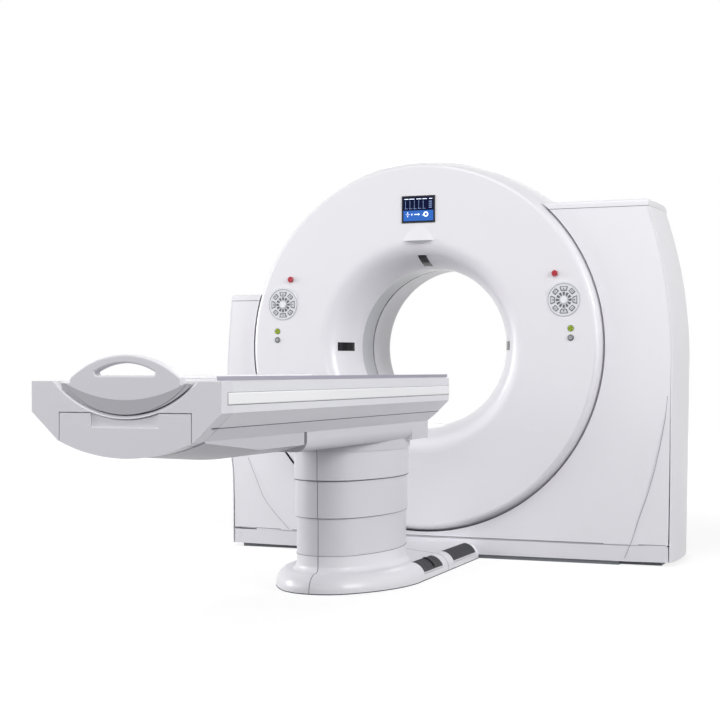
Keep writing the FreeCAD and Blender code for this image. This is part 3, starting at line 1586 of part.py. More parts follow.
def main():
    """Build every piece, check the document and write the nodes."""
    make_front_cover()
    make_shells()
    make_rear_cover()
    make_scan_window()
    make_laser_windows()
    for side in (-1, 1):
        make_side_cover(side)
        make_front_panel(side)
        make_top_cap(side)
        make_stand(side)
    make_plinth()
    make_base_frame()
    make_bearings()
    make_tilt_drive()
    make_tilt_frame()
    make_rings()
    make_rotor_units()
    make_controls()
    make_column()
    make_mast()
    make_table_base()
    make_base_cover()
    make_table_body()
    make_strips()
    make_end_cap()
    make_belly_pan()
    make_head_cover()
    make_tabletop()
    make_grip()
    for side in (-1, 1):
        make_side_rail(side)
        for span in PEDAL_SPANS:
            make_pedal(side, span)
    finish()


def finish():
    """Recompute, check every object and write one file for each node."""
    doc.recompute()
    for thing in doc.Objects:
        if "Invalid" in thing.State or "Error" in thing.State:
            raise ValueError("%s failed: %s" % (thing.Label, thing.State))
    os.makedirs("parts", exist_ok=True)
    for label, thing in NODES.items():
        shape = thing.Shape
        if shape.isNull() or not shape.isValid() or not shape.Solids:
            raise ValueError("%s has no valid solid" % label)
        shape.exportStep("parts/%s.step" % label)
        extent = shape.BoundBox
        print("%-20s solids %d volume %.3f l  z %.1f to %.1f" % (
            label, len(shape.Solids), shape.Volume / 1e6, extent.ZMin, extent.ZMax))


main()
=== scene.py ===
"""Looks of a CT scanner: finishes, display, keypads, pedals, grilles and the studio round it."""

import logging
import math
from dataclasses import dataclass
from enum import Enum
from functools import partial
from typing import Callable, Iterable, Optional, Sequence

import bmesh
import bpy
from mathutils import Matrix, Vector
from mathutils.geometry import convex_hull_2d

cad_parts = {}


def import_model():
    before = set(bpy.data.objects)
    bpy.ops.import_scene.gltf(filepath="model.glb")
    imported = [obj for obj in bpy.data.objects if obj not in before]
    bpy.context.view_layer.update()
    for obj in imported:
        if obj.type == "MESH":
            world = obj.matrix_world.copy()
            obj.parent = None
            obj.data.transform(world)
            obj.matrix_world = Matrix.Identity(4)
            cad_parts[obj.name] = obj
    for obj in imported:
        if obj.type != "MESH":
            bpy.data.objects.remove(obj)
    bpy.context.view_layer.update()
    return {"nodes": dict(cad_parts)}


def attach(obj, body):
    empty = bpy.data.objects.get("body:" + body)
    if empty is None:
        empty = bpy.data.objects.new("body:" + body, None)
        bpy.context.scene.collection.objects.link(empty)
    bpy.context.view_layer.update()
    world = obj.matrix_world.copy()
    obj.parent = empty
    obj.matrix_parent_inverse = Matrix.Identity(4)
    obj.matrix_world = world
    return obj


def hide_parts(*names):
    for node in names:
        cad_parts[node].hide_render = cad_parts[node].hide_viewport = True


Mesh = bmesh.types.BMesh
Tree = bpy.types.NodeTree
Socket = bpy.types.NodeSocket
Piece = bpy.types.Object
Flat = tuple[float, float]
Spot = tuple[float, float, float]
Outline = Sequence[Flat]
Rows = tuple[tuple, ...]
Place = Callable[[float, float, float], Vector]

LOG = logging.getLogger("ct_scanner")
MM = 0.001
DISC_FACE = -0.345
SIDES = ((-1, "left"), (1, "right"))
RIGHT, UP = Vector((1, 0, 0)), Vector((0, 0, 1))


# --- node trees and finishes


def linear(code: str) -> tuple[float, ...]:
    """Turn an sRGB hex colour into linear light.

    Args:
        code: Colour such as "#e4e3e8".

    Returns:
        Linear red, green, blue and alpha.
    """
    parts = [int(code[i:i + 2], 16) / 255 for i in (1, 3, 5)]
    light = [c / 12.92 if c <= 0.04045 else ((c + 0.055) / 1.055) ** 2.4 for c in parts]
    return *light, 1.0


def add_node(tree: Tree, kind: str, settings: Optional[dict] = None,
             links: Optional[dict] = None) -> bpy.types.Node:
    """Add a node, set its properties and sockets, and link its inputs.

    Args:
        tree: Tree that gets the node.
        kind: Blender's type name of the node, without the prefix where that is the tree's own.
        settings: Input socket's name or index, or property's name, to value.
        links: Input socket name or index to the output socket it reads.

    Returns:
        The new node.
    """
    node = tree.nodes.new(kind if "Node" in kind else tree.bl_idname.replace("Tree", kind))
    for key, value in (settings or {}).items():
        if isinstance(key, int) or key in node.inputs:
            node.inputs[key].default_value = value
        else:
            setattr(node, key, value)
    for key, source in (links or {}).items():
        tree.links.new(source, node.inputs[key])
    return node


def fresh_tree(owner: bpy.types.ID) -> Tree:
    """Give a material or world an empty node tree and return that."""
    owner.use_nodes = True
    owner.node_tree.nodes.clear()
    return owner.node_tree


class Surface(Enum):
    """How a surface was made, which sets the pattern its finish gets."""

    MOULDED = "moulded"
    POWDER = "powder coated"
    BRUSHED = "brushed"
    STIPPLED = "stippled"
    FIBRE = "woven fibre"
    POLISHED = "polished"


@dataclass(frozen=True)
class Finish:
    """A finish as it is made, with real sizes for its pattern."""

    name: str
    colour: str
    surface: Surface
    roughness: float
    grain_mm: float = 0.8
    relief: float = 0.05
    drift: float = 0.02
    metallic: float = 0.0
    ior: float = 1.5
    coat: float = 0.0
    glow: float = 0.0
    along: Spot = (1.0, 1.0, 1.0)

    def material(self) -> bpy.types.Material:
        """Return the node material of this finish, made once."""
        return bpy.data.materials.get(self.name) or self._build()

    def _build(self) -> bpy.types.Material:
        """Build the node tree."""
        made = bpy.data.materials.new(self.name)
        tree = fresh_tree(made)
        place = add_node(tree, "TexCoord").outputs["Object"]
        tint = self._tint(tree, place)
        bump = add_node(tree, "Bump", {"Strength": self.relief, "Distance": self.grain_mm * MM * 0.5},
                        {"Height": self._grain(tree, place)})
        values = {"Metallic": self.metallic, "IOR": self.ior, "Coat Weight": self.coat, "Coat Roughness": 0.08}
        links = {"Base Color": tint, "Roughness": self._gloss(tree, place), "Normal": bump.outputs["Normal"]}
        if self.glow > 0:
            values["Emission Strength"] = self.glow
            links["Emission Color"] = tint
        shade = add_node(tree, "BsdfPrincipled", values, links)
        add_node(tree, "OutputMaterial", links={"Surface": shade.outputs["BSDF"]})
        made.diffuse_color = linear(self.colour)
        return made

    @staticmethod
    def _noise(tree: Tree, place: Socket, scale: float, detail: float) -> Socket:
        """Cloudy noise between 0 and 1."""
        return add_node(tree, "TexNoise", {"Scale": scale, "Detail": detail}, {"Vector": place}).outputs["Fac"]

    def _tint(self, tree: Tree, place: Socket) -> Socket:
        """Colour with a slow drift over the surface, as real mouldings and paint have."""
        base = linear(self.colour)[:3]
        low = [*(c * (1 - self.drift) for c in base), 1.0]
        high = [*(min(1.0, c * (1 + self.drift * 0.5)) for c in base), 1.0]
        return add_node(tree, "Mix", {"data_type": "RGBA", 6: low, 7: high},
                        {0: self._noise(tree, place, 2.2, 3.0)}).outputs[2]

    def _gloss(self, tree: Tree, place: Socket) -> Socket:
        """Roughness that varies a little, as wiped surfaces do."""
        return add_node(tree, "MapRange", {
            "To Min": max(0.02, self.roughness - 0.04), "To Max": min(1.0, self.roughness + 0.05),
        }, {"Value": self._noise(tree, place, 9.0, 4.0)}).outputs["Result"]

    def _grain(self, tree: Tree, place: Socket) -> Socket:
        """Height of the surface pattern at its real size."""
        stretch = [a / (self.grain_mm * MM) for a in self.along]
        mapped = add_node(tree, "Mapping", {"Scale": stretch}, {"Vector": place}).outputs[0]
        if self.surface is Surface.FIBRE:
            waves = [add_node(tree, "TexWave", {"bands_direction": way, "Scale": 0.5}, {"Vector": mapped})
                     for way in "XY"]
            return add_node(tree, "Math", {"operation": "MULTIPLY"},
                            {i: wave.outputs["Fac"] for i, wave in enumerate(waves)}).outputs[0]
        if self.surface is Surface.STIPPLED:
            cells = {"Scale": 1.0, "Randomness": 0.9}
            return add_node(tree, "TexVoronoi", cells, {"Vector": mapped}).outputs["Distance"]
        return self._noise(tree, mapped, 1.0, 6.0 if self.surface is Surface.POWDER else 2.0)


MOULDED, POWDER, BRUSHED, STIPPLED, FIBRE, POLISHED = Surface

# Painted ABS mouldings: satin white with a soft, wide highlight and a faint orange peel.
RING_ABS = Finish("painted_abs_ring", "#e5e4e8", MOULDED, 0.34, 3.0, 0.05, 0.015, coat=0.15)
HOUSING_ABS = Finish("painted_abs_housing", "#e9e8ec", MOULDED, 0.38, 3.0, 0.06, 0.015, coat=0.1)
TABLE_ABS = Finish("painted_abs_table", "#e6e5ea", MOULDED, 0.36, 2.5, 0.06, 0.02, coat=0.12)
# Darker copy of the table's white ABS for the belly pan: painted shade, as the pan faces the floor and gets little
# light.
PAN_SHADED_ABS = Finish("abs_pan_with_painted_shade", "#cccbd1", MOULDED, 0.4, 2.5, 0.06, 0.02, coat=0.05)
# Darker copy of the table's white ABS for the head cover: painted shade, as it sits under the table and gets
# little light.
HEAD_SHADED_ABS = Finish("abs_head_with_painted_shade", "#d9d8dd", MOULDED, 0.38, 2.5, 0.06, 0.02, coat=0.08)
# Lighter copy of the table's white ABS for the base cover: painted light on its upturned top.
BASE_LIT_ABS = Finish("abs_base_with_painted_light", "#efeef2", MOULDED, 0.36, 2.5, 0.06, 0.02, coat=0.12)
PLINTH_ABS = Finish("scuffed_abs_plinth", "#e3e2e7", STIPPLED, 0.48, 1.6, 0.1, 0.05)
# Thin film stretched round the beam slot: even, smooth and a little grey.
WINDOW_FILM = Finish("polyester_film", "#b9bbc0", POLISHED, 0.22, 6.0, 0.02, 0.03)
# Smoked acrylic over the positioning lights: nearly black, sharp reflections.
SMOKED_ACRYLIC = Finish("smoked_acrylic", "#1c1d20", POLISHED, 0.08, 5.0, 0.01, 0.05, ior=1.49)
# Powder-coated steel: fine orange peel that breaks up the highlight.
POWDER_STEEL = Finish("powder_coated_steel", "#8b8f94", POWDER, 0.45, 1.2, 0.18, 0.05)
POWDER_LIGHT = Finish("powder_coated_column", "#e4e3e8", POWDER, 0.36, 1.4, 0.08, 0.02)
DRIVE_PAINT = Finish("machine_enamel", "#4d5056", POWDER, 0.42, 1.0, 0.12, 0.06)
GROUND_STEEL = Finish("ground_bearing_steel", "#a9abae", BRUSHED, 0.28, 0.4, 0.1, 0.04, metallic=1.0)
MAST_STEEL = Finish("brushed_steel_tube", "#a2a4a7", BRUSHED, 0.33, 0.5, 0.12, 0.05, metallic=1.0,
                    along=(1.0, 1.0, 0.02))
TURNED_ALUMINIUM = Finish("turned_aluminium", "#b8babd", BRUSHED, 0.32, 0.6, 0.1, 0.04, metallic=1.0)
SHEET_ALUMINIUM = Finish("sheet_aluminium", "#9a9da1", BRUSHED, 0.38, 0.6, 0.1, 0.06, metallic=1.0)
LEAD_PAINT = Finish("lead_box_paint", "#3a3c40", POWDER, 0.5, 1.0, 0.15, 0.06)
TUBE_PAINT = Finish("tube_housing_paint", "#a7a9ac", POWDER, 0.4, 1.0, 0.12, 0.05)
# Satin anodised aluminium: soft grey with a purple cast and lines along the extrusion.
ANODISED = Finish("anodised_aluminium", "#a8a5b3", BRUSHED, 0.36, 0.5, 0.1, 0.04, metallic=0.75,
                  along=(1.0, 0.01, 1.0))
PAINTED_PROFILE = Finish("painted_aluminium_profile", "#eaeaee", MOULDED, 0.34, 2.0, 0.05, 0.02)
# White inlay on the rails; the same white is also painted highlight along the side profiles' top edges.
INLAY_AND_HIGHLIGHT = Finish("white_inlay_and_painted_highlight", "#fcfcfd", POLISHED, 0.2, 4.0, 0.02, 0.01, coat=0.3)
# Gel coat over a fibre laminate: smooth grey with the weave faintly telegraphing.
LAMINATE = Finish("gelcoat_laminate", "#b9b9be", FIBRE, 0.36, 4.0, 0.06, 0.04)
GRIP_ABS = Finish("moulded_grip", "#e2e1e6", MOULDED, 0.36, 2.0, 0.06, 0.02)
BLACK_BEZEL = Finish("black_polycarbonate", "#101114", POLISHED, 0.18, 4.0, 0.02, 0.05)
SILICONE = Finish("silicone_key", "#d0d1d6", STIPPLED, 0.5, 0.6, 0.05, 0.03)
KEY_LINE = Finish("printed_key_line", "#5c5d62", MOULDED, 0.5, 1.0, 0.02, 0.02)
KEY_WELL = Finish("key_well", "#dddee2", MOULDED, 0.5, 1.0, 0.04, 0.03)
SIGNAL_RED = Finish("red_pushbutton", "#a8142a", POLISHED, 0.26, 2.0, 0.03, 0.03, coat=0.15)
BUTTON_GREY = Finish("grey_pushbutton", "#77797e", POLISHED, 0.34, 2.0, 0.03, 0.03)
LENS_GREEN = Finish("green_lens", "#93aa14", POLISHED, 0.15, 2.0, 0.02, 0.04, coat=0.3, glow=0.15)
LENS_MARK = Finish("lens_mark", "#38430c", MOULDED, 0.5, 1.0, 0.02, 0.02)
PALE_MARK = Finish("pale_print", "#e8e9ec", MOULDED, 0.5, 1.0, 0.02, 0.02)
# Ribbed EPDM rubber: near black, dull, dusty on the raised parts.
PEDAL_RUBBER = Finish("ribbed_rubber", "#3b3b3f", STIPPLED, 0.68, 0.9, 0.25, 0.12)
# Near black on the near face of each front pedal's bow, far darker than the pad around it.
BOW_BLACK = Finish("near_black_bow_face", "#0d0d0f", MOULDED, 0.8, 1.0, 0.05, 0.02)
# Painted shadow under the hood's lip, below the display.
LIP_SHADE = Finish("hood_lip_shadow", "#8f9096", MOULDED, 0.7, 1.0, 0.05, 0.05)
# Painted shade along the folds in the housings' front panels.
CREASE_SHADE = Finish("panel_crease_shade", "#a3a3a8", MOULDED, 0.7, 1.0, 0.05, 0.05)
# Dark seams, and painted shadow under the sleeves' rims and round the base cover's foot.
SEAM_SHADE = Finish("dark_seam_and_painted_shadow", "#55565b", MOULDED, 0.7, 1.0, 0.05, 0.05)
GRILLE_DARK = Finish("grille_mesh", "#3c3e42", POWDER, 0.6, 1.0, 0.1, 0.05)
ZINC = Finish("zinc_screw", "#b4b6b8", BRUSHED, 0.3, 0.3, 0.08, 0.05, metallic=1.0)
# Backlit panel: dark ground, blue field, white and pale marks.
SCREEN_NIGHT = Finish("display_dark", "#0a1030", POLISHED, 0.12, 8.0, 0.0, 0.05, ior=1.15, glow=0.3)
SCREEN_BLUE = Finish("display_blue", "#2c5ba6", POLISHED, 0.12, 8.0, 0.0, 0.12, ior=1.2, glow=0.55)
SCREEN_WHITE = Finish("display_white", "#dfe9fb", POLISHED, 0.12, 8.0, 0.0, 0.0, glow=0.9)
SCREEN_TRACE = Finish("display_trace", "#7f96c0", POLISHED, 0.12, 8.0, 0.0, 0.0, glow=0.8)


def pair(*names: str) -> tuple[str, ...]:
    """Names of the left and the right node of each kind."""
    return tuple(f"{word}_{name}" for name in names for _, word in SIDES)


NODE_FINISHES = {
    RING_ABS: ("front_cover", "upper_shell", "lower_shell", "rear_cover"),
    HOUSING_ABS: pair("front_cover", "side_cover", "top_cap"),
    PLINTH_ABS: ("plinth",),
    WINDOW_FILM: ("scan_window",),
    SMOKED_ACRYLIC: ("laser_windows",),
    POWDER_STEEL: ("base_frame", *pair("stand"), "tilt_frame", "table_base"),
    GROUND_STEEL: ("tilt_bearings", "main_bearing", "drive_stator", "slip_ring"),
    DRIVE_PAINT: ("tilt_drive",),
    TURNED_ALUMINIUM: ("rotor_drum",),
    SHEET_ALUMINIUM: ("detector", "generator"),
    TUBE_PAINT: ("xray_tube",),
    LEAD_PAINT: ("collimator",),
    BLACK_BEZEL: ("screen_bezel",),
    SCREEN_NIGHT: ("screen_glass",),
    SILICONE: pair("keypad"),
    LENS_GREEN: ("status_lamps",),
    SIGNAL_RED: pair("stop_button"),
    BUTTON_GREY: pair("round_button"),
    PALE_MARK: pair("centre_button"),
    TABLE_ABS: ("table_body", "end_cap", "end_hatch"),
    PAN_SHADED_ABS: ("belly_pan",),
    HEAD_SHADED_ABS: ("head_cover",),
    BASE_LIT_ABS: ("table_base_cover",),
    POWDER_LIGHT: ("column_upper", "column_middle", "column_lower"),
    PAINTED_PROFILE: pair("side_rail"),
    INLAY_AND_HIGHLIGHT: ("rail_strips",),
    ANODISED: ("edge_strips",),
    LAMINATE: ("tabletop",),
    GRIP_ABS: ("grip_handle",),
    MAST_STEEL: ("mast_middle", "mast_inner"),
    PEDAL_RUBBER: pair("near_pedal", "far_pedal"),
}


# --- pieces and outlines


def put(name: str, mesh: Mesh, finish: Finish, body: str) -> Piece:
    """Turn a bmesh into a piece that rides on a body.

    Args:
        name: Name of the piece.
        mesh: Geometry in metres, in the row frame. It is freed.
        finish: Its finish.
        body: CAD body it moves with.

    Returns:
        The new object.
    """
    data = bpy.data.meshes.new(name)
    mesh.to_mesh(data)
    mesh.free()
    data.materials.append(finish.material())
    piece = bpy.data.objects.new(name, data)
    bpy.context.scene.collection.objects.link(piece)
    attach(piece, body)
    LOG.info("%s: %d faces", name, len(data.polygons))
    return piece


def skin(mesh: Mesh, rows: list[list], joined: bool = False, capped: bool = False) -> None:
    """Join rows of points that each run round a loop.

    Args:
        mesh: Bmesh that gets the faces.
        rows: Rows of equally many vertices.
        joined: Also join the last row to the first.
        capped: Also close the last and the first row.
    """
    count = len(rows[0])
    for first, second in zip(rows, rows[1:] + rows[:int(joined)]):
        for i in range(count):
            j = (i + 1) % count
            mesh.faces.new((first[i], first[j], second[j], second[i]))
    if capped:
        mesh.faces.new(rows[-1])
        mesh.faces.new(rows[0][::-1])


def face_out(mesh: Mesh) -> Mesh:
    """Turn all faces of closed shapes outwards and return the bmesh."""
    bmesh.ops.recalc_face_normals(mesh, faces=mesh.faces)
    return mesh


def shrunk(outline: Outline, by: float) -> Outline:
    """Outline drawn in towards its middle, which is further off than the given length."""
    middle = Vector((sum(p[0] for p in outline), sum(p[1] for p in outline))) / len(outline)
    away = [Vector(point) - middle for point in outline]
    return [tuple(middle + ray * (1 - by / ray.length)) for ray in away]


def stamped(outlines: Iterable[Outline], place: Place, low: float, high: float, bevel: float = 0.0,
            mesh: Optional[Mesh] = None) -> Mesh:
    """Make a closed prism over each outline.

    Args:
        outlines: Flat outlines, anticlockwise as seen from the high side.
        place: Turns (across, up, out) into a point.
        low: Level of the hidden faces.
        high: Level of the shown faces.
        bevel: How much the shown faces are drawn in.
        mesh: Bmesh that gets them, or none for a new one.

    Returns:
        The bmesh.
    """
    mesh = bmesh.new() if mesh is None else mesh
    for outline in outlines:
        sections = [(outline, low), (outline, high)]
        if bevel:
            sections = [(outline, low), (outline, high - bevel), (shrunk(outline, bevel), high)]
        skin(mesh, [[mesh.verts.new(place(x, y, level)) for x, y in points] for points, level in sections],
             capped=True)
    return mesh


def box(x0: float, y0: float, x1: float, y1: float) -> Outline:
    """Corners of an upright rectangle."""
    return (x0, y0), (x1, y0), (x1, y1), (x0, y1)


def rounded(points: Outline, radius: float, steps: int = 4) -> Outline:
    """Round the corners of a convex outline.

    Args:
        points: Anticlockwise corners.
        radius: How far the rounding reaches along each side.
        steps: Steps on each corner.

    Returns:
        The rounded outline.
    """
    result = []
    count = len(points)
    for i, point in enumerate(points):
        here = Vector(point)
        start, end = (here + side.normalized() * min(radius, side.length * 0.48)
                      for side in (Vector(points[i - 1]) - here, Vector(points[(i + 1) % count]) - here))
        for step in range(steps + 1):
            t = step / steps
            result.append(tuple(start * (1 - t) ** 2 + here * 2 * t * (1 - t) + end * t * t))
    return result


def turned(outline: Iterable[Flat], degrees: float) -> Outline:
    """Outline turned about the origin."""
    cos, sin = math.cos(math.radians(degrees)), math.sin(math.radians(degrees))
    return [(x * cos - y * sin, x * sin + y * cos) for x, y in outline]


def arc(radius: float, start: float, end: float, steps: int, up: float = 0.0) -> Outline:
    """Points on an arc.

    Args:
        radius: Its radius.
        start: First angle in degrees.
        end: Last angle in degrees.
        steps: Steps between the two.
        up: How far its centre lies above the origin.

    Returns:
        One point more than the steps.
    """
    angles = [math.radians(start + (end - start) * i / steps) for i in range(steps + 1)]
    return [(radius * math.cos(a), up + radius * math.sin(a)) for a in angles]


def ring_sector(inner: float, outer: float, start: float, end: float, steps: int) -> Outline:
    """Anticlockwise outline of a ring sector; arguments as for an arc."""
    return arc(outer, start, end, steps) + arc(inner, end, start, steps)


def whole_ring(inner: float, outer: float, count: int, lap: float, steps: int) -> list[Outline]:
    """Sectors that make up a ring, each longer than its share by the lap in degrees."""
    turns = [360 * i / count for i in range(count + 1)]
    return [ring_sector(inner, outer, start, end + lap, steps) for start, end in zip(turns, turns[1:])]


def on_disc(across: float, up: float, unit: float = 1.0) -> Place:
    """Place points on the ring's front disc; out is away from the disc."""
    return lambda x, y, out: Vector((across + x * unit, DISC_FACE - out, up + y * unit))


# --- controls on the ring


@dataclass
class DisplayPicture:
    """Generic picture on the gantry's display, drawn in mm: pulse traces above, table symbols below."""

    middle_up: float = 1.742
    glass_out: float = 0.003
    pane: float = 0.0004
    field: tuple[float, ...] = (-79, -58, 79, -6)
    bars: Rows = (
        (-74, 50, -52, 53), (-48, 50, -20, 53), (-10, 50, 16, 53), (22, 50, 46, 53), (58, 50, 74, 53),
        (-66, -27, -47, -25), (-22, -28, 0, -24), (20, -31, 34, -29))
    arrows: Rows = (
        ((-60, -20), (-53, -20), (-56.5, -12)), ((-56.5, -40), (-53, -32), (-60, -32)),
        ((-40, -26), (-32, -32), (-32, -20)), ((0, -32), (9, -26), (0, -20)))
    ring_middle: Flat = (40, -26)
    ring_radii: Flat = (7, 13)
    first_trace: float = -68
    trace_pitch: float = 23.5
    traces: int = 5
    values: int = 4

    def build(self) -> None:
        """Make the two fields and their marks."""
        place = on_disc(0.0, self.middle_up, MM)
        low, top = self.glass_out, self.glass_out + 2 * self.pane
        for name, outlines, high, finish in (
                ("display_lower_field", [box(*self.field)], low + self.pane, SCREEN_BLUE),
                ("display_symbols", self._symbols(), top, SCREEN_WHITE),
                ("display_traces", self._trace_marks(), top, SCREEN_TRACE)):
            put(name, stamped(outlines, place, low, high), finish, "ring")

    def _symbols(self) -> Iterable[Outline]:
        """Title bars, arrows and a ring with a table."""
        yield from (box(*bar) for bar in self.bars)
        yield from self.arrows
        across, up = self.ring_middle
        for part in whole_ring(*self.ring_radii, 12, 0.5, 2):
            yield [(x + across, y + up) for x, y in part]

    def _trace_marks(self) -> Iterable[Outline]:
        """Upright pulse marks over a base line, and a column of small values."""
        for i in range(self.traces):
            x = self.first_trace + i * self.trace_pitch
            yield box(x - 0.6, 4, x + 0.6, 44)
            yield box(x - 4.5, 3, x + 12.5, 4.2)
            yield [(x, -1), (x + 0.6, 3), (x - 0.6, 3)]
        for i in range(self.values):
            yield box(56, 6 + i * 10, 72, 9 + i * 10)


@dataclass
class Keypad:
    """Control panel on the disc: a raised disc with a brow, eight outlined keys and an inner star."""

    side: int
    word: str
    across: float = 0.744
    up: float = 1.275
    hole: float = 0.0205
    radius: float = 0.08
    brow: float = 0.086
    brow_up: float = 0.004
    brow_end: float = 20.0
    key_out: float = 0.0055
    plate_out: float = 0.003
    sink: float = 0.001
    bevel: float = 0.0008
    line: float = 0.0052
    steps: int = 64
    square: Outline = box(0.047, -0.0135, 0.068, 0.0135)
    wide: Outline = ((0.043, -0.014), (0.0655, -0.021), (0.0655, 0.021), (0.043, 0.014))
    petal: Outline = ((0.023, -0.0038), (0.0385, -0.0062), (0.0385, 0.0062), (0.023, 0.0038))
    dash: Outline = box(0.0575, -0.005, 0.0605, 0.005)
    arrow: Outline = ((0.05, -0.005), (0.058, 0.0), (0.05, 0.005))

    def build(self) -> None:
        """Make plate, keys, outlines and the star, in place of the CAD node."""
        name = self.word + "_keypad"
        place = on_disc(self.side * self.across, self.up)
        piece = put(name + "_plate", self._plate(place), KEY_WELL, "ring")
        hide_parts(name)
        keys = [*self._four(rounded(self.square, 0.003), 45.0), *self._four(rounded(self.wide, 0.004), 0.0)]
        petals = [turned(rounded(self.petal, 0.002), 30 * i) for i in range(12)]
        edge = whole_ring(self.radius - 0.002, self.radius - 0.0006, 24, 0.2, 2)
        lines = bmesh.new()
        for outlines, proud in ((keys, 0.0012), (edge, 0.0004), (petals, 0.0014)):
            stamped(outlines, place, self.plate_out - self.sink, self.plate_out + proud, mesh=lines)
        signs = [*self._four(self.arrow, 0.0), *self._four(self.dash, 45.0)]
        stamped(signs, place, self.key_out - 0.0005, self.key_out + 0.0003, mesh=lines)
        faces = stamped([shrunk(key, self.line) for key in keys], place, self.plate_out, self.key_out, self.bevel)
        put(name + "_lines", lines, KEY_LINE, "ring")
        put(name + "_keys", faces, SILICONE, "ring")

    def _plate(self, place: Place) -> Mesh:
        """Return the flat ring with a bevelled outer edge, and the thicker crescent along its top."""
        mesh = bmesh.new()
        out, bevel = self.plate_out, self.bevel
        profile = ((self.hole, 0.0), (self.hole, out), (self.radius - bevel, out), (self.radius, out - bevel),
                   (self.radius, 0.0))
        angles = [2 * math.pi * i / self.steps for i in range(self.steps)]
        skin(mesh, [[mesh.verts.new(place(radius * math.cos(a), radius * math.sin(a), level)) for a in angles]
                    for radius, level in profile], joined=True)
        face_out(mesh)
        first, last = self.brow_end, 180 - self.brow_end
        crescent = arc(self.brow, first, last, 24, self.brow_up) + arc(self.radius, last, first, 24)
        return stamped([crescent], place, 0.0, self.key_out, mesh=mesh)

    @staticmethod
    def _four(outline: Outline, first: float) -> list[Outline]:
        """Four copies of an outline, a quarter turn apart."""
        return [turned(outline, first + 90 * i) for i in range(4)]


@dataclass
class LampMarks:
    """Small printed signs on the lamps and round buttons, and the dark ring round each."""

    across: float = 0.777
    lamp_up: float = 1.137
    button_up: float = 1.092
    lamp_out: float = 0.003
    button_out: float = 0.007
    sink: float = 0.0005
    stem: tuple[float, ...] = (-0.0007, 0.001, 0.0007, 0.008)

    def build(self) -> None:
        """Make a three-blade sign on each lamp, a bar sign on each round button and the rings."""
        lamps, rings = bmesh.new(), bmesh.new()
        blades = [ring_sector(0.0028, 0.009, turn, turn + 60, 5) for turn in (30, 150, 270)]
        for side, _ in SIDES:
            stamped(blades, on_disc(side * self.across, self.lamp_up), self.lamp_out - self.sink,
                    self.lamp_out + 0.0004, mesh=lamps)
            for up in (self.lamp_up, self.button_up):
                stamped(whole_ring(0.0134, 0.0155, 12, 0.4, 3), on_disc(side * self.across, up), -0.0004, 0.0008,
                        mesh=rings)
        put("lamp_signs", lamps, LENS_MARK, "ring")
        for side, word in SIDES:
            sign = stamped([ring_sector(0.0052, 0.0064, 110, 430, 24), box(*self.stem)],
                           on_disc(side * self.across, self.button_up), self.button_out - self.sink,
                           self.button_out + 0.0003)
            put(word + "_round_sign", sign, PALE_MARK, word + "_round")
        put("control_bezels", rings, LENS_MARK, "ring")


@dataclass
class HoodLipShadow:
    """Painted shadow: a grey crescent on the hood's face along its lower lip, under the display."""

    low: float = 1.5706
    foot: float = 1.57
    half: float = 0.09
    depth: float = 0.016
    tall: float = 0.092
    bow: float = 0.02
    line: float = 0.0145
    reach: float = 0.0765
    proud: float = 0.0004
    sink: float = 0.0006
    steps: int = 28

    def build(self) -> None:
        """Make the painted shadow crescent on the hood's curved face."""
        mesh = bmesh.new()
        lip = (self.bow ** 2 + self.half ** 2) / (2 * self.bow)
        rows = []
        for i in range(self.steps + 1):
            x = self.reach * (2 * i / self.steps - 1)
            bottom = self.low + lip - math.sqrt(lip * lip - x * x) + 0.0004
            top = max(bottom + 0.0001, self.low + self.line)
            corners = ((top, -self.proud), (bottom, -self.proud), (bottom, self.sink), (top, self.sink))
            rows.append([mesh.verts.new((x, self._face(x, z) + shift, z)) for z, shift in corners])
        skin(mesh, rows, capped=True)
        put("hood_lip_shadow", face_out(mesh), LIP_SHADE, "ring")

    def _face(self, x: float, z: float) -> float:
        """Y of the hood's face, a leaning cylinder."""
        bend = (self.half ** 2 + self.depth ** 2) / (2 * self.depth)
        lean = (z - self.foot) * self.depth / self.tall
        return DISC_FACE - self.depth + bend - math.sqrt(bend * bend - x * x) + lean


# --- repeated pieces by geometry nodes


class Repeat:
    """Geometry Nodes tree that sets copies of a small shape on given places."""

    def __init__(self, name: str, **sizes: float) -> None:
        """Start a tree with its named inputs.

        Args:
            name: Name of the tree.
            **sizes: Input name to default value; a whole number makes a count.
        """
        self.tree = bpy.data.node_groups.new(name, "GeometryNodeTree")
        self.inputs: dict[str, str] = {}
        sockets = self.tree.interface
        sockets.new_socket("Geometry", in_out="OUTPUT", socket_type="NodeSocketGeometry")
        for word, default in sizes.items():
            kind = "NodeSocketInt" if isinstance(default, int) else "NodeSocketFloat"
            socket = sockets.new_socket(word, in_out="INPUT", socket_type=kind)
            socket.default_value = default
            self.inputs[word] = socket.identifier
        self.given = add_node(self.tree, "NodeGroupInput").outputs

    def copy(self, shape: Socket, points: Socket) -> "Repeat":
        """Set a shape on points as real geometry, and return the finished tree."""
        copies = add_node(self.tree, "InstanceOnPoints", links={"Points": points, "Instance": shape})
        real = add_node(self.tree, "RealizeInstances", links={"Geometry": copies.outputs["Instances"]})
        add_node(self.tree, "NodeGroupOutput", links={"Geometry": real.outputs[0]})
        return self

    def bake(self, place: Matrix, **values: float) -> Mesh:
        """Evaluate the tree once.

        Args:
            place: Where the copies' own frame lies in the row frame.
            **values: Input name to value.

        Returns:
            A new bmesh of the copies.
        """
        carrier = bpy.data.objects.new("carrier", bpy.data.meshes.new("carrier"))
        bpy.context.scene.collection.objects.link(carrier)
        modifier = carrier.modifiers.new("repeat", "NODES")
        modifier.node_group = self.tree
        for word, value in values.items():
            modifier[self.inputs[word]] = value
        mesh = bmesh.new()
        mesh.from_object(carrier, bpy.context.evaluated_depsgraph_get())
        bpy.data.objects.remove(carrier)
        mesh.transform(place)
        return mesh


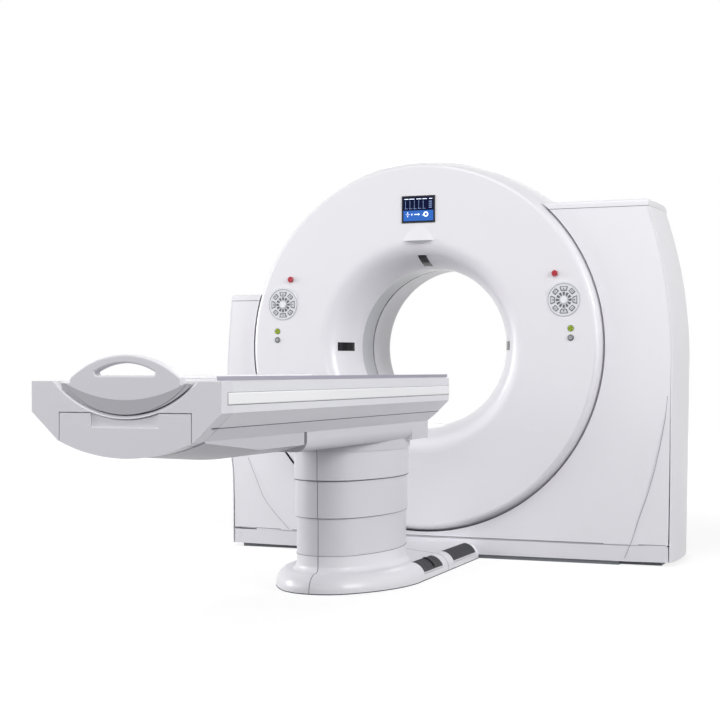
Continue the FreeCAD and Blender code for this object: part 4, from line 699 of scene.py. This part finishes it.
def slat_tree(pitch: float) -> Repeat:
    """Tree for a row of equal slats along X, at a pitch."""
    repeat = Repeat("slat_row", Count=10, Pitch=pitch, Width=0.006, Length=0.16, Height=0.0024)
    tree, given = repeat.tree, repeat.given
    step = add_node(tree, "ShaderNodeCombineXYZ", links={"X": given["Pitch"]}).outputs[0]
    row = add_node(tree, "MeshLine", {"mode": "OFFSET"}, {"Count": given["Count"], "Offset": step})
    size = add_node(tree, "ShaderNodeCombineXYZ",
                    links={"X": given["Width"], "Y": given["Length"], "Z": given["Height"]}).outputs[0]
    slat = add_node(tree, "MeshCube", links={"Size": size})
    return repeat.copy(slat.outputs["Mesh"], row.outputs["Mesh"])


def screw_tree(radius: float) -> Repeat:
    """Tree for screw heads on a circle of a radius in the XY plane, heads along Z."""
    repeat = Repeat("screw_circle", Count=4, Circle=radius, Head=0.006, Height=0.002)
    tree, given = repeat.tree, repeat.given
    circle = add_node(tree, "MeshCircle", {"fill_type": "NONE"},
                      {"Vertices": given["Count"], "Radius": given["Circle"]})
    head = add_node(tree, "MeshCylinder", {"Vertices": 16}, {"Radius": given["Head"], "Depth": given["Height"]})
    return repeat.copy(head.outputs["Mesh"], circle.outputs["Mesh"])


@dataclass
class RearDress:
    """Cooling grilles in the housings' rear faces, each with four screws."""

    screw_circle: float = 0.21
    screw_face: float = 0.3508
    slat_face: float = 0.3504
    low: float = 0.34
    pitch: float = 0.012
    grilles: Rows = (("right", 1.06, 22), ("left", -0.93, 16))

    def build(self) -> None:
        """Make screws and grilles."""
        screws, slats = screw_tree(self.screw_circle), slat_tree(self.pitch)
        upright = Matrix(((0, 1, 0, 0), (0, 0, 1, 0), (1, 0, 0, 0), (0, 0, 0, 1)))
        facing = Matrix.Rotation(math.pi / 4, 4, "Y") @ Matrix.Rotation(math.pi / 2, 4, "X")
        for word, across, count in self.grilles:
            middle = (across, self.screw_face, self.low + self.pitch * (count - 1) / 2)
            heads = screws.bake(Matrix.Translation(middle) @ facing)
            put(word + "_rear_screws", heads, ZINC, "base")
            foot = (across, self.slat_face, self.low)
            grille = slats.bake(Matrix.Translation(foot) @ upright, Count=count)
            put(word + "_rear_grille", grille, GRILLE_DARK, "base")


@dataclass
class PedalPads:
    """Ribbed rubber pads that follow the base's rounded rim, with a raised bow on the near pair."""

    rim_radius: float = 0.066
    rim_centre: float = 0.014
    pad_angles: Flat = (3.0, 70.0)
    lip_angles: Flat = (70.0, 74.5)
    bow_angles: Flat = (9.0, 62.0)
    sole: float = -0.0055
    steps: int = 18
    fine_pitch: float = 0.0075
    fine_height: float = 0.0005
    coarse_pitch: float = 0.0265
    coarse_height: float = 0.0016
    bow_along: float = -1.004
    bow_face: float = 0.0022
    bow_length: float = 0.045
    bow_height: float = 0.0085
    bow_top: float = 0.0088
    proud: float = 0.0002
    spans: Rows = (("near", -1.143, -0.878, 0.31081), ("far", -0.705, -0.348, 0.30345))

    def build(self) -> None:
        """Make the four pads, their white lower edges and the dark face of each bow."""
        for side, word in SIDES:
            for span, start, end, half in self.spans:
                body, near = f"{word}_{span}", span == "near"
                bar = partial(self._bar, side, half)
                count = int((end - start) / self.fine_pitch) * 4
                alongs = [start + (end - start) * j / count for j in range(count + 1)]
                ribs = partial(self._height, ends=(start, alongs[-1]), bow=near)
                piece = put(body + "_pad", bar(self.pad_angles, alongs, self.sole, ribs), PEDAL_RUBBER, body)
                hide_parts(body + "_pedal")
                lip = bar(self.lip_angles, (start, end), self.sole, lambda share, along: 0.0)
                put(body + "_edge", lip, TABLE_ABS, body)
                if near:
                    face = bar(self.bow_angles, (self.bow_along - self.bow_face, self.bow_along), -0.001,
                               lambda share, along: self.bow_top)
                    put(body + "_bow_face", face, BOW_BLACK, body)

    def _height(self, share: float, along: float, ends: Flat, bow: bool) -> float:
        """Height of the rubber at a share of the width and a place along it."""
        if not ends[0] < along < ends[1]:
            return 0.0
        height = self.fine_height if int(along / self.fine_pitch * 2) % 2 else 0.0
        height += self.coarse_height * max(0.0, math.cos(2 * math.pi * along / self.coarse_pitch)) ** 3
        behind = (along - self.bow_along) / self.bow_length
        if bow and 0.0 <= behind <= 1.0:
            height += self.bow_height * (1 - behind) ** 1.5
        return self.proud + height * min(1.0, 8 * share, 8 * (1 - share))

    def _bar(self, side: int, half: float, angles: Flat, alongs: Sequence[float], sole: float,
             height: Callable[[float, float], float]) -> Mesh:
        """Return a closed bar that is bent over the rim of a side."""
        mesh = bmesh.new()
        rows = []
        for i in range(self.steps + 1):
            share = i / self.steps
            turn = math.radians(angles[0] + (angles[1] - angles[0]) * share)
            loop = [(along, height(share, along)) for along in alongs]
            loop += [(along, sole) for along in reversed(alongs)]
            rows.append([mesh.verts.new((
                side * (half - self.rim_radius + (self.rim_radius + out) * math.sin(turn)), along,
                self.rim_centre + (self.rim_radius + out) * math.cos(turn))) for along, out in loop])
        skin(mesh, rows)
        for row in (rows[0], rows[-1]):
            for j in range(len(alongs) - 1):
                mesh.faces.new((row[j], row[j + 1], row[-j - 2], row[-j - 1]))
        return face_out(mesh)


# --- joints, wipers and rails


def drawn_in(loop: Sequence[Vector], by: float) -> list[Vector]:
    """Convex anticlockwise loop offset inwards."""
    result = []
    for i, here in enumerate(loop):
        before = (here - loop[i - 1]).normalized()
        after = (loop[(i + 1) % len(loop)] - here).normalized()
        inward = Vector((-before.y - after.y, before.x + after.x)).normalized()
        facing = max(0.5, inward.dot(Vector((-before.y, before.x))))
        result.append(here + inward * (by / facing))
    return result


def edge_band(node: Piece, level: float, depths: Flat, levels: Flat) -> Mesh:
    """Make a closed ring that follows the edge of a node.

    Args:
        node: CAD node with a convex plan at the edge.
        level: Height of the edge, whose plan is read from the node's own mesh.
        depths: How far the ring's outer and inner side lie inside the plan.
        levels: The ring's lower and upper height.

    Returns:
        A new bmesh.
    """
    points = [(node.matrix_world @ v.co) for v in node.data.vertices]
    flat = [Vector((p.x, p.y)) for p in points if abs(p.z - level) < 2e-4]
    loop = [flat[i] for i in convex_hull_2d(flat)]
    if sum(a.x * b.y - b.x * a.y for a, b in zip(loop, loop[1:] + loop[:1])) < 0:
        loop.reverse()
    outer, inner = (drawn_in(loop, depth) for depth in depths)
    corners = ((outer, levels[0]), (outer, levels[1]), (inner, levels[1]), (inner, levels[0]))
    mesh = bmesh.new()
    skin(mesh, [[mesh.verts.new((p.x, p.y, z)) for p in plan] for plan, z in corners], joined=True)
    return mesh


def ribbon(points: Iterable[Sequence[float]], across: Vector, width: float, proud: float = 0.0002,
           sink: float = 0.0004, mesh: Optional[Mesh] = None) -> Mesh:
    """Make a thin closed strip along a path.

    Args:
        points: Path on the surface.
        across: Direction of its width; across x travel points out of the surface.
        width: Its width.
        proud: How far it stands out.
        sink: How far it goes in.
        mesh: Bmesh that gets it, or none for a new one.

    Returns:
        The bmesh.
    """
    mesh = bmesh.new() if mesh is None else mesh
    path = [Vector(point) for point in points]
    half = across * width / 2
    rows = []
    for i, point in enumerate(path):
        travel = (path[min(i + 1, len(path) - 1)] - path[max(i - 1, 0)]).normalized()
        out = across.cross(travel).normalized()
        rows.append([mesh.verts.new(point + move) for move in (
            half + out * proud, out * proud - half, -half - out * sink, half - out * sink)])
    skin(mesh, rows, capped=True)
    return face_out(mesh)


def add_box(mesh: Mesh, low: Sequence[float], high: Sequence[float]) -> None:
    """Add a closed box between two corners."""
    low, high = Vector(low), Vector(high)
    place = Matrix.Translation((high + low) / 2) @ Matrix.Diagonal((*[abs(v) for v in high - low], 1.0))
    bmesh.ops.create_cube(mesh, size=1.0, matrix=place)


@dataclass
class SideDress:
    """Rails on the table's top edges, a painted highlight along each side profile's top edge, the joints along its
    sides and the seal beside the tabletop.
    """

    half: float = 0.352
    far: float = -0.93
    nears: Flat = (-2.96, -3.205)
    rail_inner: float = 0.329
    rail_outer: float = 0.346
    insert: float = 0.0015
    highlight_band: Flat = (0.334, 0.341)
    rail_levels: Flat = (0.9035, 0.9165)
    rail_foot: float = 0.9
    rail_gap: float = 0.005
    highlight_gap: float = 0.004
    inlay_near: float = -3.1705
    inlay_lines: Outline = ((0.825, 0.0024), (0.8653, 0.001))
    seam_near: float = -3.18
    seam_x: float = 0.301
    seam_z: float = 0.7484
    seal_across: Flat = (0.085, 0.222)
    seal_steps: int = 12
    seal_flank: Outline = ((0.2232, 0.886), (0.2232, 0.893), (0.238, 0.893))
    seal_faces: Flat = (3.207, 3.2142)
    seal_arcs: Rows = ((1.0985, 0.308), (1.145, 0.354))

    def build(self) -> None:
        """Make the rails, their light inner faces, the painted highlight strips, the joints and the seal."""
        dark, light, joints, seal = bmesh.new(), bmesh.new(), bmesh.new(), bmesh.new()
        low, high = self.rail_levels
        far, middle = self.far - self.rail_gap, self.rail_inner + self.insert
        for (side, _), near in zip(SIDES, self.nears):
            add_box(dark, (side * middle, near, low), (side * self.rail_outer, far, high))
            add_box(light, (side * self.rail_inner, near, low), (side * middle, far, high))
            # Painted highlight: a light strip along the side profile's top edge, standing in for light caught by
            # its rounded edge.
            add_box(light, (side * self.highlight_band[0], near + self.highlight_gap, self.rail_foot),
                    (side * self.highlight_band[1], far - self.highlight_gap, low))
            self._side_joints(joints, side)
            self._seal(seal, side)
        piece = put("edge_rail_bars", dark, ANODISED, "table")
        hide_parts("edge_strips")
        put("edge_rail_inserts_and_highlight", light, INLAY_AND_HIGHLIGHT, "table")
        put("side_joints", joints, SEAM_SHADE, "table")
        put("channel_seal", seal, LAMINATE, "table")

    def _seal(self, mesh: Mesh, side: int) -> None:
        """Add the grey seal between the end cap's channel and the tabletop's flank."""
        first, last = self.seal_across
        across = [first + (last - first) * i / self.seal_steps for i in range(self.seal_steps + 1)]
        edges = across, (self.seal_flank[-1][0], *reversed(across))
        upper, lower = ([(x, middle - math.sqrt(radius ** 2 - x * x)) for x in edge]
                        for edge, (middle, radius) in zip(edges, self.seal_arcs))
        outline = [(side * x, z) for x, z in (*upper, *self.seal_flank, *lower)][::-side]
        stamped([outline], lambda x, z, out: Vector((x, -out, z)), *self.seal_faces, mesh=mesh)

    def _side_joints(self, mesh: Mesh, side: int) -> None:
        """Add the lines round an inlay and along the seam under a side profile."""
        x, near = side * self.half, self.inlay_near
        for z, width in self.inlay_lines:
            ribbon(((x, near, z), (x, self.far, z)), -side * UP, width, mesh=mesh)
        z, width = self.inlay_lines[0]
        ribbon(((x, near, z), (x, near, 0.8655)), Vector((0, side, 0)), width - 0.0002, mesh=mesh)
        x, slope = side * self.seam_x, Vector((-0.7071 * side, 0, -0.7071)) * side
        ribbon(((x, self.seam_near, self.seam_z), (x, self.far, self.seam_z)), slope, 0.0034, 0.0003, 0.0006, mesh)


@dataclass
class HousingJoints:
    """Joints on the housings' front panels and painted shade along their creases, as points in mm."""

    lines: Rows = (
        ("housing_joints", SEAM_SHADE, (
            ((-1056, -273.8, 103.5), (-967.5, -279.2, 103.5), (-875.8, -288, 103.5), (-785, -296.9, 103.5),
             (-703.4, -300, 103.5)),
            ((-1064, -300, 1301.5), (-906, -300, 1301.5)),
            ((-703.4, -300, 102.5), (900, -300, 101.8), (1000, -298.5, 101.8), (1102.1, -294.9, 101.8),
             (1204.9, -285.3, 101.8), (1232, -282, 101.8)),
            ((652, -300, 1720), (1145, -300, 1720)))),
        # Painted shade along the panel folds, where the surface turns away from the light.
        ("housing_crease_shades", CREASE_SHADE, (
            ((-970.1, -298.5, 476.5), (-950.3, -297.1, 429.3), (-930.3, -296.1, 382.3), (-907.4, -295.3, 327.5),
             (-887.3, -294.7, 278), (-854.8, -295.9, 231.8), (-813.4, -298, 186.2), (-772.2, -300, 146),
             (-732, -300, 105.7)),
            ((1234.2, -300, 812.9), (1222, -300, 699.1), (1198.4, -300, 575.4), (1170, -300, 451.3),
             (1136.7, -300, 336.2), (1098.6, -300, 230.1), (1065.1, -300, 123.7), (1029, -300, 36.1)))))
    width: float = 0.0024

    def build(self) -> None:
        """Make the joints and the painted crease shade."""
        for name, finish, lines in self.lines:
            mesh = bmesh.new()
            for points in lines:
                path = [Vector(point) * MM for point in points]
                travel = (path[-1] - path[0]).normalized()
                ribbon(path, travel.cross(Vector((0, -1, 0))), self.width, 0.0004, 0.0012, mesh)
            put(name, mesh, finish, "base")


@dataclass
class TableJoints:
    """Dark wipers under the sleeves, which also paint the shadow under each sleeve's rim, the joint down the
    column's front, the joints of the base cover and a painted contact shadow round its foot.
    """

    nodes: dict[str, Piece]
    wipers: Rows = (
        ("upper_wiper_shade", "column_upper", 0.47, (0.0008, 0.0056), 0.0038, "upper_sleeve"),
        ("middle_wiper_shade", "column_middle", 0.31, (0.0008, 0.0034), 0.002, "middle_sleeve"),
        ("lower_wiper_shade", "column_lower", 0.15, (-0.0014, 0.002), 0.0015, "base"))
    fronts: Rows = (
        ("neck_joint", -1.64, 0.5905, 0.638, "table"),
        ("upper_joint", -1.634, 0.4702, 0.589, "upper_sleeve"),
        ("middle_joint", -1.628, 0.3102, 0.465, "middle_sleeve"),
        ("lower_joint", -1.622, 0.1515, 0.305, "base"))
    width: float = 0.0022
    tip: float = -1.719
    floor_gap: float = 0.005
    rim_radius: float = 0.066
    rim_centre: float = 0.014
    collar: Flat = (-1.623, 0.149)
    root_radius: float = 0.024
    root_start: float = -72.0
    base_top: float = 0.08
    cross_along: float = -0.797
    cross_half: float = 0.3076
    cross_bends: Outline = ((0.15, -0.742), (0.045, -0.668), (0.0, -0.655))

    def build(self) -> None:
        """Make the wipers with their painted rim shadow, the joints and the painted contact shadow."""
        # Dark bands just below each sleeve's lower edge: wipers, darkened to paint the shadow under the sleeve's
        # rim.
        for name, node, level, depths, drop, body in self.wipers:
            lip = edge_band(self.nodes[node], level, depths, (level - drop, level))
            put(name, lip, SEAM_SHADE, body)
        for name, y, low, high, body in self.fronts:
            put(name, ribbon(((0, y, low), (0, y, high)), RIGHT, self.width), SEAM_SHADE, body)
        self._base_joint()
        self._cross_joint()
        # Painted contact shadow: a dark band round the foot of the base cover, just above the floor.
        contact_shadow = edge_band(self.nodes["table_base_cover"], 0.0, (-0.0004, 0.003), (0.0006, 0.0046))
        put("base_contact_shadow", contact_shadow, SEAM_SHADE, "base")

    def _base_joint(self) -> None:
        """Make the joint from the collar over the rim's tip to the floor."""
        front, top = self.collar
        path = [(0, self.tip, self.floor_gap)]
        path += [(0, self.tip + self.rim_radius + y, self.rim_centre + z)
                 for y, z in arc(self.rim_radius, 180, 90, 14)]
        path += [(0, front - self.root_radius + y, self.base_top + self.root_radius + z)
                 for y, z in arc(self.root_radius, self.root_start, 0, 8)]
        joint = ribbon([*path, (0, front, top)], RIGHT, self.width, 0.0005, 0.0012)
        put("base_joint", joint, SEAM_SHADE, "base")

    def _cross_joint(self) -> None:
        """Make the joint across the base cover, between the pedals."""
        mesh = bmesh.new()
        inner, y = self.cross_half - self.rim_radius, self.cross_along
        for side, _ in SIDES:
            path = [(side * (inner + x), y, self.rim_centre + z)
                    for x, z in arc(self.rim_radius, 90, 0, 14)]
            path.append((side * self.cross_half, y, self.floor_gap))
            ribbon(path, Vector((0, -side, 0)), self.width, 0.0004, 0.0008, mesh)
            top = [(side * x, along, self.base_top) for x, along in ((inner, y), *self.cross_bends)]
            ribbon(top[::-side], Vector((0, 1, 0)), self.width, 0.0003, 0.0004, mesh)
        put("base_cross_joint", mesh, SEAM_SHADE, "base")


# --- studio


@dataclass
class Studio:
    """Pale floor, soft lamps, a white backdrop and the camera."""

    eye: Spot = (2.4983, -7.4484, 0.9376)
    turn_degrees: float = 21.711
    focal: float = 75.0385
    sensor: float = 36.0
    shift: Flat = (0.003708, 0.013444)
    clip_end: float = 100.0
    floor_half: float = 15.0
    floor_level: float = -0.0005
    lamps: Rows = (
        ("fill", (-4.8, -5.4, 2.2), 3.2, 72.0),
        ("front", (1.2, -8.5, 3.2), 3.0, 108.0),
        ("top", (0.0, -4.5, 6.0), 3.0, 120.0),
        ("right", (6.5, -3.0, 3.0), 3.0, 262.0),
        ("left", (-6.8, -1.4, 2.2), 2.6, 148.0),
        ("left_front", (-6.5, -2.8, 1.6), 2.4, 98.0),
        ("back", (-1.0, 6.0, 3.6), 3.5, 115.0))
    aim: Spot = (0.1, -0.9, 0.9)

    def build(self) -> None:
        """Set up world, floor, lamps and camera."""
        self._world()
        self._floor()
        for name, spot, size, power in self.lamps:
            data = bpy.data.lights.new(name + "_lamp", "AREA")
            data.energy, data.shape, data.size = power, "DISK", size
            self._stand(data, spot, (Vector(self.aim) - Vector(spot)).to_track_quat("-Z", "Y").to_euler())
        data = bpy.data.cameras.new("camera")
        data.lens, data.sensor_width, data.clip_end = self.focal, self.sensor, self.clip_end
        data.shift_x, data.shift_y = self.shift
        scene = bpy.context.scene
        scene.camera = self._stand(data, self.eye, (math.pi / 2, 0.0, math.radians(self.turn_degrees)))
        scene.view_settings.view_transform = "Standard"

    @staticmethod
    def _stand(data: bpy.types.ID, spot: Spot, turn: Sequence[float]) -> Piece:
        """Set up a lamp, camera or mesh in its place and return it."""
        thing = bpy.data.objects.new(data.name, data)
        thing.location = spot
        thing.rotation_euler = turn
        bpy.context.scene.collection.objects.link(thing)
        return thing

    @staticmethod
    def _mixed(tree: Tree, share: Socket, first: Socket, second: Socket) -> Socket:
        """Mix of two shaders."""
        return add_node(tree, "MixShader", links={0: share, 1: first, 2: second}).outputs[0]

    @staticmethod
    def _seen(tree: Tree) -> Socket:
        """1 where a ray comes from the camera, a mirror-like reflection or through glass."""
        path = add_node(tree, "LightPath").outputs
        seen = path["Is Camera Ray"]
        for other in ("Is Glossy Ray", "Is Transmission Ray"):
            seen = add_node(tree, "Math", {"operation": "MAXIMUM"}, {0: seen, 1: path[other]}).outputs[0]
        return seen

    def _world(self) -> None:
        """White to the camera, a soft grey light to the object."""
        world = bpy.data.worlds.new("studio")
        tree = fresh_tree(world)
        soft = add_node(tree, "Background", {"Color": linear("#f2f2f5"), "Strength": 0.24})
        white = add_node(tree, "Background", {"Color": (1, 1, 1, 1), "Strength": 1.0})
        mix = self._mixed(tree, self._seen(tree), soft.outputs[0], white.outputs[0])
        add_node(tree, "OutputWorld", links={"Surface": mix})
        bpy.context.scene.world = world

    def _floor(self) -> None:
        """Pale floor that keeps a soft shadow."""
        data = bpy.data.meshes.new("floor")
        corners = [(x * self.floor_half, y * self.floor_half, self.floor_level) for x, y in box(-1, -1, 1, 1)]
        data.from_pydata(corners, [], [range(len(corners))])
        data.materials.append(self._floor_paint())
        self._stand(data, (0.0, 0.0, 0.0), (0.0, 0.0, 0.0))

    def _floor_paint(self) -> bpy.types.Material:
        """Matt grey to bounced light; to the camera pale near the object and white far off."""
        made = bpy.data.materials.new("pale_floor")
        tree = fresh_tree(made)
        matt = add_node(tree, "BsdfDiffuse", {"Color": linear("#88888c")})
        pale = add_node(tree, "BsdfDiffuse", {"Color": linear("#fcfcfc")})
        white = add_node(tree, "Emission", {"Color": (1, 1, 1, 1), "Strength": 1.08})
        place = add_node(tree, "TexCoord").outputs["Object"]
        away = add_node(tree, "VectorMath", {"operation": "LENGTH"}, {0: place})
        fade = add_node(tree, "MapRange", {
            "From Min": 2.0, "From Max": 5.0, "To Min": 0.74, "To Max": 1.0,
        }, {"Value": away.outputs["Value"]})
        shown = self._mixed(tree, fade.outputs["Result"], pale.outputs[0], white.outputs[0])
        mix = self._mixed(tree, self._seen(tree), matt.outputs[0], shown)
        add_node(tree, "OutputMaterial", links={"Surface": mix})
        return made


def dress_nodes(nodes: dict[str, Piece]) -> None:
    """Give every CAD node its finish.

    Args:
        nodes: Node name to object.
    """
    for finish, names in NODE_FINISHES.items():
        for name in names:
            for place in nodes[name].material_slots:
                place.material = finish.material()
    LOG.info("dressed %d nodes", sum(len(names) for names in NODE_FINISHES.values()))


def main() -> None:
    """Load the frame, dress it and add the pieces in order."""
    logging.basicConfig(level=logging.INFO, format="%(name)s %(message)s")
    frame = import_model()
    Studio().build()
    dress_nodes(frame["nodes"])
    DisplayPicture().build()
    for side, word in SIDES:
        Keypad(side, word).build()
    LampMarks().build()
    HoodLipShadow().build()
    PedalPads().build()
    TableJoints(frame["nodes"]).build()
    SideDress().build()
    HousingJoints().build()
    RearDress().build()


if __name__ == "__main__":
    main()
